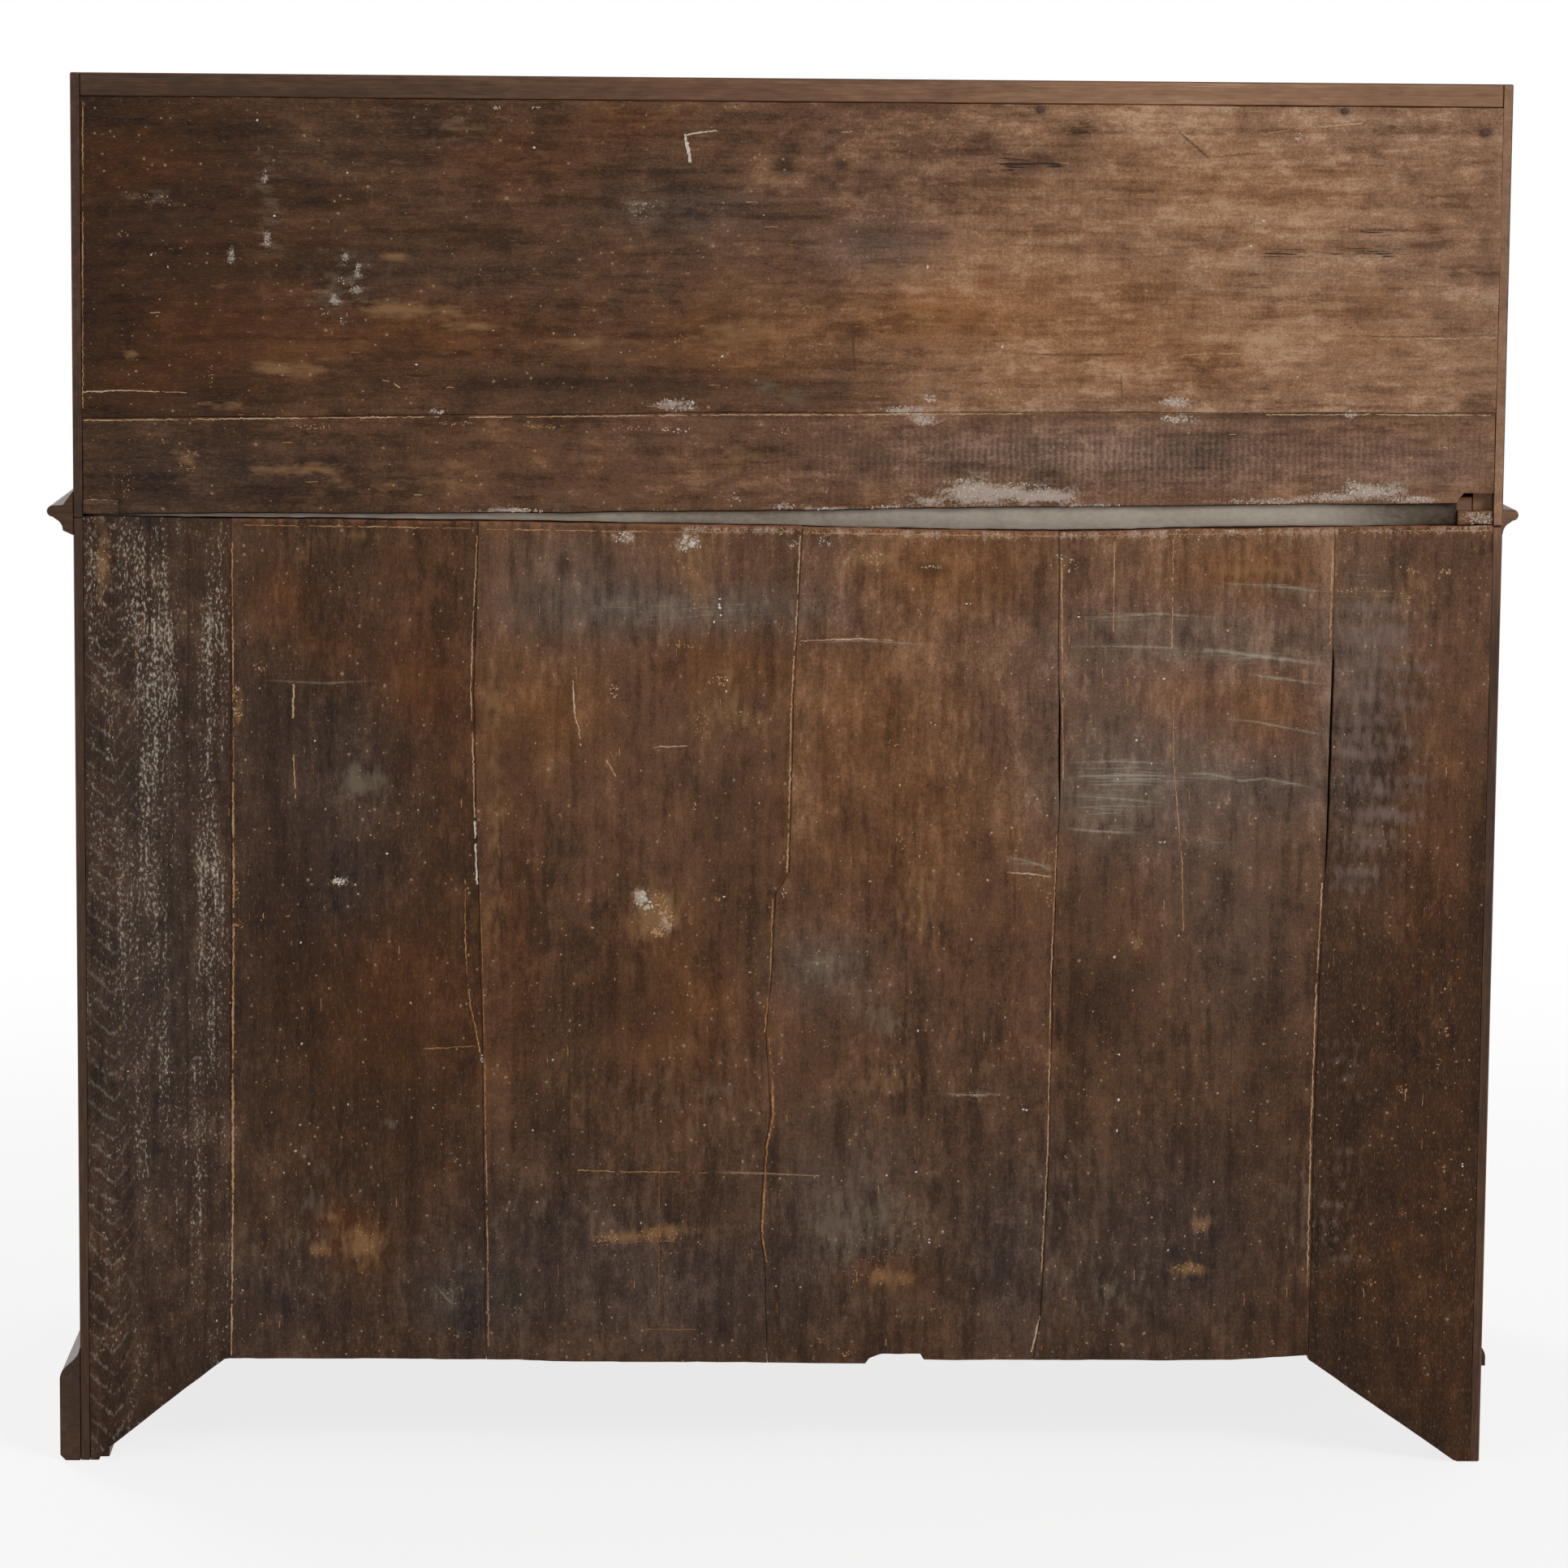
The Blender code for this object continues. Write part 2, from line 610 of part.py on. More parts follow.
def make_desk_boards():
    """Bottom of the desk, the frieze in front of the well and the guides beside the lopers."""
    half = INNER_HALF - GAP
    board(
        "desk_bottom_board", -half, half, Y_FRONT, BOARD_REAR, DESK_BOTTOM_LOW, DESK_BOTTOM_HIGH
    )
    low, high = LOPER_LOW, BED_UNDER - GAP
    frieze_back = Y_FRONT + FRIEZE_THICK
    board("frieze_rail", -GUIDE_OUTER, GUIDE_OUTER, Y_FRONT, frieze_back, low, high)
    for side, name in ((-1, "left"), (1, "right")):
        inner, outer = side * (GUIDE_OUTER - GUIDE_THICK), side * GUIDE_OUTER
        board(f"well_side_{name}", inner, outer, frieze_back + GAP, BOARD_REAR, low, high, LINING)


def make_lopers():
    """Sliding supports for the open fall, each with a turned pull."""
    for side, name in ((-1, "left"), (1, "right")):
        outer = side * (INNER_HALF - LOPER_CLEAR)
        inner = side * (INNER_HALF - LOPER_CLEAR - LOPER_WIDTH)
        made = board(
            f"loper_{name}", inner, outer, Y_FRONT, Y_FRONT + LOPER_LENGTH, LOPER_LOW, LOPER_HIGH
        )
        centre = ((inner + outer) / 2, Y_FRONT, (LOPER_LOW + LOPER_HIGH) / 2)
        pull = turned(bmesh.new(), knob_profile(-KNOB_NECK_RADIUS), *centre, KNOB_STEPS)
        combine(made, helper(f"loper_pull_{name}", pull), "UNION")


def make_writing_bed():
    """Writing bed with an opening over the well, grooved for the slide and recessed for the hinges."""
    half = INNER_HALF + HOUSING_DEPTH - GAP
    made = board("writing_bed", -half, half, Y_FRONT, BOARD_REAR, BED_UNDER, BED_TOP)
    front, rear = Y_FRONT + BED_FRONT_STRIP, BOARD_REAR - BED_REAR_STRIP
    low, high = BED_UNDER - CUT_OVERRUN, BED_TOP + CUT_OVERRUN
    groove = WELL_HALF + SLIDE_TONGUE_REACH
    groove_high = BED_TOP - GAP - SLIDE_TOP_THICK + SLIDE_CLEAR
    groove_low = groove_high - SLIDE_TONGUE_THICK - 2 * SLIDE_CLEAR
    opening = boxes((-WELL_HALF, WELL_HALF, front, rear, low, high))
    combine(made, helper("well_opening", opening), "DIFFERENCE")
    grooves = boxes((-groove, groove, front, rear, groove_low, groove_high))
    combine(made, helper("slide_grooves", grooves), "DIFFERENCE")
    for side, name in ((-1, "left"), (1, "right")):
        for number, cutter in enumerate(hinge_seats(side, AXIS_Y, BED_TOP, 1, -1)):
            combine(made, helper(f"bed_{name}_seat_{number}", cutter), "DIFFERENCE")


def hinge_seats(side, axis_a, axis_b, along, into):
    """Cutters for a hinge: a scoop round its knuckle and a shallow seat for its leaf."""
    half = HINGE_LENGTH / 2 + HINGE_CLEAR
    x0, x1 = side * HINGE_X - half, side * HINGE_X + half
    scoop = circle((axis_a, axis_b), HINGE_KNUCKLE_RADIUS + HINGE_CLEAR, BARREL_STEPS)
    reach = axis_a + along * (HINGE_LEAF_REACH + HINGE_CLEAR)
    deep = axis_b + into * (HINGE_LEAF_THICK + GAP)
    seat = (x0, x1, axis_a, reach, axis_b - into * CUT_OVERRUN, deep)
    return prism(scoop, "X", x0, x1), boxes(seat)


def make_well_slide():
    """Panel over the well: it runs back under the nest on tongues in the bed's grooves."""
    top = BED_TOP - GAP
    shoulder = top - SLIDE_TOP_THICK
    low = shoulder - SLIDE_TONGUE_THICK
    inner = WELL_HALF - SLIDE_CLEAR
    outer = WELL_HALF + SLIDE_TONGUE_REACH - SLIDE_CLEAR
    outline = [
        (-outer, low),
        (outer, low),
        (outer, shoulder),
        (inner, shoulder),
        (inner, top),
        (-inner, top),
        (-inner, shoulder),
        (-outer, shoulder),
    ]
    made = finish("well_slide", prism(outline, "Y", SLIDE_START, SLIDE_END), OAK)
    hole = circle((0.0, SLIDE_START + SLIDE_HOLE_INSET), SLIDE_HOLE_RADIUS, BARREL_STEPS)
    cutter = prism(hole, "Z", low - CUT_OVERRUN, top + CUT_OVERRUN)
    combine(made, helper("slide_finger_hole", cutter), "DIFFERENCE")


def make_nest():
    """Floor, shelf, dividers and arcade of the nest; shelf and dividers are halved together."""
    half = INNER_HALF - GAP
    board(
        "nest_floor", -half, half, Y_NEST, BOARD_REAR, BED_TOP + GAP, NEST_FLOOR_HIGH, LINING
    )
    shelf = board("nest_shelf", -half, half, Y_NEST, BOARD_REAR, SHELF_LOW, SHELF_HIGH, LINING)
    low, high = NEST_FLOOR_HIGH + GAP, TOP_UNDER - GAP
    front_at_top = Y_NEST + ARCADE_THICK + GAP
    outline = [(BOARD_REAR, low), (BOARD_REAR, high), (front_at_top, high)]
    outline.append((front_at_top, high - ARCADE_HEIGHT))
    for i in range(1, OGEE_STEPS):
        share = i / OGEE_STEPS
        z = (high - ARCADE_HEIGHT) * (1 - share) + SHELF_HIGH * share
        y = front_at_top * (1 - share) + Y_NEST * share
        outline.append((y + NEST_CURVE * math.sin(math.pi * share) ** 2, z))
    outline += [(Y_NEST, SHELF_HIGH), (Y_NEST, low)]
    for side, name in ((-1, "left"), (1, "right")):
        centre = side * (BAY_WIDTH + NEST_BOARD) / 2
        x0, x1 = centre - NEST_BOARD / 2, centre + NEST_BOARD / 2
        divider = finish(f"nest_divider_{name}", prism(outline, "X", x0, x1), LINING)
        slot = boxes(
            (
                x0 - CUT_OVERRUN,
                x1 + CUT_OVERRUN,
                Y_NEST - CUT_OVERRUN,
                NEST_MIDDLE + GAP,
                SHELF_LOW - GAP,
                SHELF_HIGH + GAP,
            )
        )
        combine(divider, helper(f"divider_slot_{name}", slot), "DIFFERENCE")
        notch = boxes(
            (
                x0 - GAP,
                x1 + GAP,
                NEST_MIDDLE,
                BOARD_REAR + CUT_OVERRUN,
                SHELF_LOW - CUT_OVERRUN,
                SHELF_HIGH + CUT_OVERRUN,
            )
        )
        combine(shelf, helper(f"shelf_slot_{name}", notch), "DIFFERENCE")


def make_arcade():
    """One board cut with a row of arches, which heads the pigeonholes."""
    half = INNER_HALF - GAP
    low, high = TOP_UNDER - GAP - ARCADE_HEIGHT, TOP_UNDER - GAP
    arches = 3 * ARCHES_PER_BAY
    pitch = 2 * half / arches
    outline = [(half, high), (-half, high)]
    for arch in range(arches):
        start = -half + arch * pitch
        for i in range(ARCH_STEPS + 1):
            share = i / ARCH_STEPS
            if i == 0 and arch:
                continue
            rise = ARCADE_RISE * math.sin(math.pi * share) ** ARCH_FULLNESS
            outline.append((start + pitch * share, low + rise))
    finish(
        "pigeonhole_arcade", prism(outline, "Y", Y_NEST, Y_NEST + ARCADE_THICK), LINING
    )


def make_nest_drawers():
    """Three small drawers, each hollowed out and fitted with a turned pull."""
    low = NEST_FLOOR_HIGH + GAP
    high = SHELF_LOW - NEST_DRAWER_CLEAR
    rear = BOARD_REAR - NEST_DRAWER_BACK_CLEAR
    for place, name in ((-1, "left"), (0, "middle"), (1, "right")):
        centre = place * (BAY_WIDTH + NEST_BOARD)
        half = BAY_WIDTH / 2 - NEST_DRAWER_CLEAR
        made = board(
            f"small_drawer_{name}", centre - half, centre + half, Y_NEST, rear, low, high, LINING
        )
        room = boxes(
            (
                centre - half + NEST_DRAWER_WALL,
                centre + half - NEST_DRAWER_WALL,
                Y_NEST + NEST_DRAWER_FRONT,
                rear - NEST_DRAWER_WALL,
                low + NEST_DRAWER_WALL,
                high + CUT_OVERRUN,
            )
        )
        combine(made, helper(f"small_drawer_room_{name}", room), "DIFFERENCE")
        pull = turned(
            bmesh.new(),
            knob_profile(-KNOB_NECK_RADIUS),
            centre,
            Y_NEST,
            (low + high) / 2,
            KNOB_STEPS,
        )
        combine(made, helper(f"small_drawer_pull_{name}", pull), "UNION")


def make_fall():
    """Sloping fall, drawn flat on its hinge axis and tilted; its lip laps the sides and top."""
    axis = bpy.data.objects.new("fall_axis", None)
    axis.location = (0.0, AXIS_Y, BED_TOP)
    axis.rotation_euler = (SLOPE, 0.0, 0.0)
    bpy.context.scene.collection.objects.link(axis)
    half = INNER_HALF - FALL_SIDE_CLEAR
    side_over = FALL_LIP_OVER + FALL_SIDE_CLEAR
    rings = lipped_rings(
        -half,
        half,
        0.0,
        FALL_LENGTH,
        FALL_BODY + GAP,
        FALL_LIP,
        (side_over, side_over, -LIP_LOW_STEP, FALL_LIP_OVER),
        FALL_EDGE_ROUND,
        lambda x, b, d: (x, b, d),
    )
    fall = finish("fall_panel", skin(bmesh.new(), rings), OAK)
    fall.parent = axis
    for side, name in ((-1, "left"), (1, "right")):
        for number, cutter in enumerate(hinge_seats(side, 0.0, 0.0, 1, 1)):
            seat = helper(f"fall_{name}_seat_{number}", cutter)
            seat.parent = axis
            combine(fall, seat, "DIFFERENCE")
        make_hinge(side, name, axis)


def make_hinge(side, name, axis):
    """One butt hinge: a fixed leaf with two knuckles and the pin, and a fall leaf with the middle one."""
    x = side * HINGE_X
    third, half = HINGE_THIRD, HINGE_LENGTH / 2
    clear = HINGE_KNUCKLE_RADIUS + HINGE_CLEAR
    thin = HINGE_LEAF_THICK * HINGE_LEAF_SHARE
    leaf_end = AXIS_Y + HINGE_LEAF_REACH
    bed_leaf = boxes((x - half, x + half, AXIS_Y + clear, leaf_end, BED_TOP - thin, BED_TOP))
    made = finish(f"bed_hinge_{name}", bed_leaf, BRASS)
    round_barrel = circle((AXIS_Y, BED_TOP), HINGE_KNUCKLE_RADIUS, BARREL_STEPS)
    tab_end, tab_low, tab_high = AXIS_Y + 2 * clear, BED_TOP - HINGE_LEAF_THICK, BED_TOP - ARRIS / 2
    for end, (x0, x1) in enumerate(((x - half, x - third - GAP), (x + third + GAP, x + half))):
        barrel = prism(round_barrel, "X", x0, x1)
        combine(made, helper(f"bed_hinge_{name}_knuckle_{end}", barrel), "UNION")
        tab = boxes((x0 + ARRIS, x1 - ARRIS, AXIS_Y, tab_end, tab_low, tab_high))
        combine(made, helper(f"bed_hinge_{name}_tab_{end}", tab), "UNION")
    round_pin = circle((AXIS_Y, BED_TOP), HINGE_PIN_RADIUS, PIN_STEPS)
    pin = prism(round_pin, "X", x - 2 * third, x + 2 * third)
    combine(made, helper(f"bed_hinge_{name}_pin", pin), "UNION")

    fall_leaf = boxes((x - half, x + half, clear, HINGE_LEAF_REACH, 0.0, thin))
    made = finish(f"fall_hinge_{name}", fall_leaf, BRASS)
    made.parent = axis
    round_barrel = circle((0.0, 0.0), HINGE_KNUCKLE_RADIUS, BARREL_STEPS)
    barrel = prism(round_barrel, "X", x - third, x + third)
    tab = boxes((x - third + ARRIS, x + third - ARRIS, 0.0, 2 * clear, ARRIS / 2, HINGE_LEAF_THICK))
    round_bore = circle((0.0, 0.0), HINGE_PIN_RADIUS + HINGE_PIN_CLEAR, PIN_STEPS)
    bore = prism(round_bore, "X", x - half, x + half)
    for part, shape, operation in (
        ("knuckle", barrel, "UNION"),
        ("tab", tab, "UNION"),
        ("bore", bore, "DIFFERENCE"),
    ):
        other = helper(f"fall_hinge_{name}_{part}", shape)
        other.parent = axis
        combine(made, other, operation)


def tails(x0, x1, root, tip, low, high, grow):
    """Dovetails on the end of a drawer side, wider at the tip, as separate wedges."""
    bm = bmesh.new()
    count = max(1, int((high - low) / TAIL_PITCH))
    pitch = (high - low) / count
    for number in range(count):
        centre = low + pitch * (number + 0.5)
        narrow = pitch * TAIL_SHARE / 2 + grow
        wide = narrow + TAIL_FLARE
        outline = [
            (root, centre - narrow),
            (root, centre + narrow),
            (tip, centre + wide),
            (tip, centre - wide),
        ]
        prism(outline, "X", x0, x1, bm)
    return bm


def make_drawer(name, low_board, high_board):
    """A long drawer: a lipped front lap-dovetailed to a box that runs on the board below."""
    low = low_board + GAP
    high = high_board - DRAWER_TOP_CLEAR
    half = INNER_HALF - DRAWER_SIDE_CLEAR
    body_back = Y_FRONT + DRAWER_BODY
    lip_side = DRAWER_SIDE_CLEAR + DRAWER_LIP_OVER
    lip_top = DRAWER_TOP_CLEAR + DRAWER_LIP_OVER
    rings = lipped_rings(
        -half,
        half,
        low,
        high,
        DRAWER_BODY + DRAWER_LIP_CLEAR,
        DRAWER_LIP,
        (lip_side, lip_side, -LIP_LOW_STEP, lip_top),
        DRAWER_EDGE_ROUND,
        lambda x, b, d: (x, body_back - d, b),
    )
    front = finish(f"drawer_{name}_front", skin(bmesh.new(), rings), OAK)
    start, end = body_back + GAP, BOARD_REAR - DRAWER_BACK_CLEAR
    side_high = high - GAP
    box = finish(
        f"drawer_{name}_box", boxes((-half, half, start, end, low, side_high)), LINING
    )
    inner = half - DRAWER_WALL
    floor_low = low + DRAWER_FLOOR_RISE
    floor_high = floor_low + DRAWER_FLOOR_THICK
    back = end - DRAWER_WALL
    rooms = (
        (-inner, inner, start - CUT_OVERRUN, back, floor_high, side_high + CUT_OVERRUN),
        (-inner, inner, start - CUT_OVERRUN, end + CUT_OVERRUN, low - CUT_OVERRUN, floor_low),
        (-inner, inner, back - CUT_OVERRUN, end + CUT_OVERRUN, side_high - DRAWER_BACK_DROP, high),
    )
    for number, room in enumerate(rooms):
        combine(box, helper(f"drawer_{name}_room_{number}", boxes(room)), "DIFFERENCE")
    tip = body_back - TAIL_LENGTH
    for side, hand in ((-1, "left"), (1, "right")):
        outer, inside = side * (half - GAP), side * (inner + GAP)
        grown = tails(outer, inside, start + DRAWER_WALL, tip + GAP, low, side_high, 0.0)
        combine(box, helper(f"drawer_{name}_tails_{hand}", grown), "UNION")
        outer, inside = side * (half + CUT_OVERRUN), side * inner
        sockets = tails(outer, inside, start + DRAWER_WALL, tip, low, side_high, GAP)
        combine(front, helper(f"drawer_{name}_sockets_{hand}", sockets), "DIFFERENCE")
    for side, hand in ((-1, "left"), (1, "right")):
        make_handle(f"{name}_{hand}", side * HANDLE_X, (low + high) / 2)


def plate_outline(x, z):
    """A lobed brass plate, wider than high, with a cusp between its lobes."""
    points = []
    for i in range(PLATE_STEPS):
        turn = 2 * math.pi * i / PLATE_STEPS
        swell = 1 - PLATE_LOBE + PLATE_LOBE * math.cos(4 * turn) - PLATE_LOBE / 2 * math.cos(8 * turn)
        across = PLATE_HALF_WIDTH * swell * math.cos(turn)
        points.append((x + across, z + PLATE_HALF_HEIGHT * swell * math.sin(turn)))
    return points


def make_handle(name, x, z):
    """A brass handle: a lobed plate with two drilled posts, and a bail that swings in them."""
    face = Y_FRONT - DRAWER_LIP_CLEAR - DRAWER_LIP
    back = face - GAP
    pivot_y = face - POST_REACH
    pivot_z = z + PLATE_HALF_HEIGHT * POST_RISE_SHARE
    plate = finish(
        f"handle_plate_{name}",
        prism(plate_outline(x, z), "Y", back, back - PLATE_THICK),
        BRASS,
    )
    start = GAP + PLATE_THICK / 2
    profile = [
        (start, POST_FOOT_RADIUS),
        (start + PLATE_THICK, POST_FOOT_RADIUS),
        (start + 2 * PLATE_THICK, POST_NECK_RADIUS),
        (POST_REACH - POST_HEAD_RADIUS * POST_NECK_END, POST_NECK_RADIUS),
    ]
    for reach, swell in POST_HEAD_SHARES:
        profile.append((POST_REACH + POST_HEAD_RADIUS * reach, POST_HEAD_RADIUS * swell))
    for side, hand in ((-1, "left"), (1, "right")):
        post = turned(bmesh.new(), profile, x + side * POST_SPACING / 2, face, pivot_z, POST_STEPS)
        combine(plate, helper(f"post_{name}_{hand}", post), "UNION")
    reach = POST_SPACING / 2 + 2 * POST_HEAD_RADIUS
    bore = circle((pivot_y, pivot_z), BAIL_RADIUS + BAIL_BORE_CLEAR, PIN_STEPS)
    cutter = prism(bore, "X", x - reach, x + reach)
    combine(plate, helper(f"post_bore_{name}", cutter), "DIFFERENCE")
    make_bail(f"bail_{name}", x, pivot_y, pivot_z)


def make_bail(name, x, y, z):
    """A bent rod: its two ends lie in the posts and it hangs in a shallow swag between them."""
    pin = POST_SPACING / 2
    bend = pin + POST_HEAD_RADIUS + BAIL_RADIUS
    half = [(pin - BAIL_RADIUS, 0.0)]
    half += arc((bend, -BAIL_SHOULDER), BAIL_SHOULDER, 90, 0, BAIL_BEND_STEPS)
    for i in range(1, BAIL_SWAG_STEPS):
        turn = math.pi / 2 * i / BAIL_SWAG_STEPS
        hang = (BAIL_DROP - BAIL_SHOULDER) * math.sin(turn)
        half.append(((bend + BAIL_SHOULDER) * math.cos(turn), -BAIL_SHOULDER - hang))
    path = half + [(0.0, -BAIL_DROP)] + [(-a, b) for a, b in reversed(half)]
    curve = bpy.data.curves.new(name, "CURVE")
    curve.dimensions = "3D"
    curve.bevel_depth = BAIL_RADIUS
    curve.bevel_resolution = 2
    curve.use_fill_caps = True
    spline = curve.splines.new("POLY")
    spline.points.add(len(path) - 1)
    for point, (a, b) in zip(spline.points, path):
        point.co = (a, 0.0, b, 1.0)
    curve.materials.append(material_of(name, BRASS))
    made = bpy.data.objects.new(name, curve)
    made.location = (x, y, z)
    bpy.context.scene.collection.objects.link(made)


for old in list(bpy.data.objects):
    bpy.data.objects.remove(old)

make_upper_sides()
make_top_board()
make_chest_sides()
make_chest_boards()
make_upper_back()
make_lower_back()
make_waist_moulding()
make_base()
make_desk_boards()
make_lopers()
make_writing_bed()
make_well_slide()
make_nest()
make_arcade()
make_nest_drawers()
make_fall()
make_drawer("top", UPPER_DUST_HIGH, CHEST_TOP_UNDER)
make_drawer("middle", LOWER_DUST_HIGH, UPPER_DUST_LOW)
make_drawer("bottom", BOTTOM_BOARD_HIGH, LOWER_DUST_LOW)
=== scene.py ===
# %% [markdown]
# # A fall-front desk, seen from behind
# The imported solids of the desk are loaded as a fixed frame, and this file gives them their looks.
# What faces the camera is the rough side: old sawn boards nailed to the back of the case, never
# polished, and scuffed by two centuries of walls, dust and removal carts.

# %% Load the frame
import json
import math

import bmesh
import bpy
import numpy as np
from mathutils import Matrix, Vector


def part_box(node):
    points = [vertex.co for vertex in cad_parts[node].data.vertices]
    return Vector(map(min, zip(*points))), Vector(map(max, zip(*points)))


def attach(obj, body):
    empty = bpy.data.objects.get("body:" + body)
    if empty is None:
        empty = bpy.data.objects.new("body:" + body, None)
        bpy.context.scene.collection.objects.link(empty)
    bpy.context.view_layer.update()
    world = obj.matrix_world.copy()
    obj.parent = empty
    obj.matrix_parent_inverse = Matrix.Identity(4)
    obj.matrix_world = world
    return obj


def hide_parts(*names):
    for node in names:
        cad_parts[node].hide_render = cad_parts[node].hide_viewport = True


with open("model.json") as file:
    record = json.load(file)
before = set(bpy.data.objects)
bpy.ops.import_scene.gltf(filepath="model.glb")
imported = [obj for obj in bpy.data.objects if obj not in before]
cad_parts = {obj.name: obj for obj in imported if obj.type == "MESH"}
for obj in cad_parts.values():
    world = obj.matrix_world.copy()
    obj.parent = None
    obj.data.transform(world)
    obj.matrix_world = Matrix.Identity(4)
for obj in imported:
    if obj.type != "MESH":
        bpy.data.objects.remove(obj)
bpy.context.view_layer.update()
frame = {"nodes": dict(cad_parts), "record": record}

scene = bpy.context.scene
scene.view_settings.view_transform = "Standard"

# %% [markdown]
# ## Where things are
# The boards of the back all end on one plane, the rear of the case. Its place comes from the frame,
# so nothing here has to be fitted by eye.

# %% Planes of the case
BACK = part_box("back_stile_right")[1].y
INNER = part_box("back_stile_right")[0].y
print("rear plane", round(BACK, 4), "inside of the boards", round(INNER, 4))

# %% [markdown]
# ## The camera
# A long lens stands a little to one side of the desk's middle, level with its top, and looks down at
# it by seven degrees. The numbers were fitted so that the corners of the case fall where they
# fall in the photograph, which is 1932 pixels wide and high.

# %% Camera
PHOTO_SIZE = 1932
FOCAL_PIXELS = 6754.8
SENSOR_MM = 36.0
LENS_PLACE = np.array([0.12154, BACK + 3.9, 1.0])
LOOK_DOWN = 0.12803
LOOK_ASIDE = 0.03033
TILT = 0.00857


def camera_axes():
    """The directions right, up and ahead of the lens, turned aside, then down, then tilted."""
    right, up, ahead = np.eye(3) * (-1, 1, -1) @ np.array([[1, 0, 0], [0, 0, 1], [0, 1, 0]])
    ahead, right = (
        ahead * math.cos(LOOK_ASIDE) + right * math.sin(LOOK_ASIDE),
        right * math.cos(LOOK_ASIDE) - ahead * math.sin(LOOK_ASIDE),
    )
    ahead, up = (
        ahead * math.cos(LOOK_DOWN) - up * math.sin(LOOK_DOWN),
        up * math.cos(LOOK_DOWN) + ahead * math.sin(LOOK_DOWN),
    )
    right, up = (
        right * math.cos(TILT) + up * math.sin(TILT),
        up * math.cos(TILT) - right * math.sin(TILT),
    )
    return right, up, ahead


RIGHT, UP, AHEAD = camera_axes()
camera = bpy.data.objects.new("camera", bpy.data.cameras.new("camera"))
scene.collection.objects.link(camera)
camera.data.sensor_width = SENSOR_MM
camera.data.lens = FOCAL_PIXELS * SENSOR_MM / PHOTO_SIZE
camera.data.clip_end = 60.0
facing = Matrix(np.array([RIGHT, UP, -AHEAD]).T.tolist()).to_4x4()
camera.matrix_world = Matrix.Translation(LENS_PLACE) @ facing
scene.camera = camera
print("lens", round(camera.data.lens, 1), "mm at", LENS_PLACE.round(3))


# %% [markdown]
# The back is nearly flat, so each pixel of the photograph belongs to one point of the rear plane. Two
# small functions go from one to the other. An image thrown onto the desk by the camera could carry
# colours across, but a place can also shape an edge or seat a nail, and it holds from every side.


# %% Photograph and rear plane
def photo_of(x, z):
    """Where a point of the rear plane falls in the photograph, in pixels."""
    offset = np.stack([x, np.full_like(x, BACK), z], -1) - LENS_PLACE
    dust_tone_and_shade = offset @ AHEAD
    across = PHOTO_SIZE / 2 + FOCAL_PIXELS * (offset @ RIGHT) / dust_tone_and_shade
    down = PHOTO_SIZE / 2 - FOCAL_PIXELS * (offset @ UP) / dust_tone_and_shade
    return across, down


def on_back(across, down):
    """The point (x, z) of the rear plane that a pixel of the photograph shows."""
    ray = (
        AHEAD
        + RIGHT * (across - PHOTO_SIZE / 2) / FOCAL_PIXELS
        - UP * (down - PHOTO_SIZE / 2) / FOCAL_PIXELS
    )
    hit = LENS_PLACE + ray * (BACK - LENS_PLACE[1]) / ray[1]
    return hit[0], hit[2]


MIDDLE = PHOTO_SIZE // 2
PIXEL = abs(on_back(MIDDLE + 1, MIDDLE)[0] - on_back(MIDDLE, MIDDLE)[0])
print("one pixel of the photograph is", round(1000 * PIXEL, 3), "mm on the back")

# %% [markdown]
# ## Colours and nodes
# Every colour below is written as the sRGB hex value one would read in a paint program, and one
# function turns it to the linear numbers that shaders use. One other function adds a node, with its
# settings and its links in a single call, so that a material reads from top to bottom.


# %% Helpers for materials
def linear(code):
    """An sRGB hex colour as linear red, green, blue and alpha."""
    shares = [int(code[at:at + 2], 16) / 255 for at in (1, 3, 5)]
    return [s / 12.92 if s <= 0.04045 else ((s + 0.055) / 1.055) ** 2.4 for s in shares] + [1.0]


def add(tree, kind, inputs, out=0, stops=(), **settings):
    """Add a node; inputs are values or sockets to link, stops fill a colour ramp. Gives one output."""
    made = tree.nodes.new("ShaderNode" + kind)
    for name, value in settings.items():
        setattr(made, name, value)
    for number, (place, code) in enumerate(stops):
        ramp = made.color_ramp.elements
        while number == 0 and len(ramp) > 1:
            ramp.remove(ramp[0])
        stop = ramp[0] if number == 0 else ramp.new(place)
        stop.position = place
        stop.color = linear(code)
    for name, value in inputs.items():
        if isinstance(value, bpy.types.NodeSocket):
            tree.links.new(value, made.inputs[name])
        else:
            made.inputs[name].default_value = value
    return made.outputs[out]


def new_finish(name):
    """A new node material, with its tree and its main shader."""
    material = bpy.data.materials.new(name)
    material.use_nodes = True
    return material, material.node_tree, material.node_tree.nodes["Principled BSDF"]


def grain_noise(tree, place, along, width, length, detail=3.0, crust=0.6):
    """Noise drawn out along an axis, centred on zero: figures of width by length mm, crust adds fine ones."""
    per_metre = [1000.0 / width] * 3
    per_metre[along] = 1000.0 / length
    stretched = add(tree, "VectorMath", {0: place, 1: per_metre}, operation="MULTIPLY")
    cloud = add(tree, "TexNoise", {"Vector": stretched, "Scale": 1.0, "Detail": detail, "Roughness": crust})
    return add(tree, "Math", {0: cloud, 1: 0.5}, operation="SUBTRACT")


def weigh(tree, start, parts):
    """A sum of fields, each times its weight, on top of a start value or field."""
    total = start
    for part, weight in parts:
        total = add(tree, "Math", {0: part, 1: weight, 2: total}, operation="MULTIPLY_ADD")
    return total


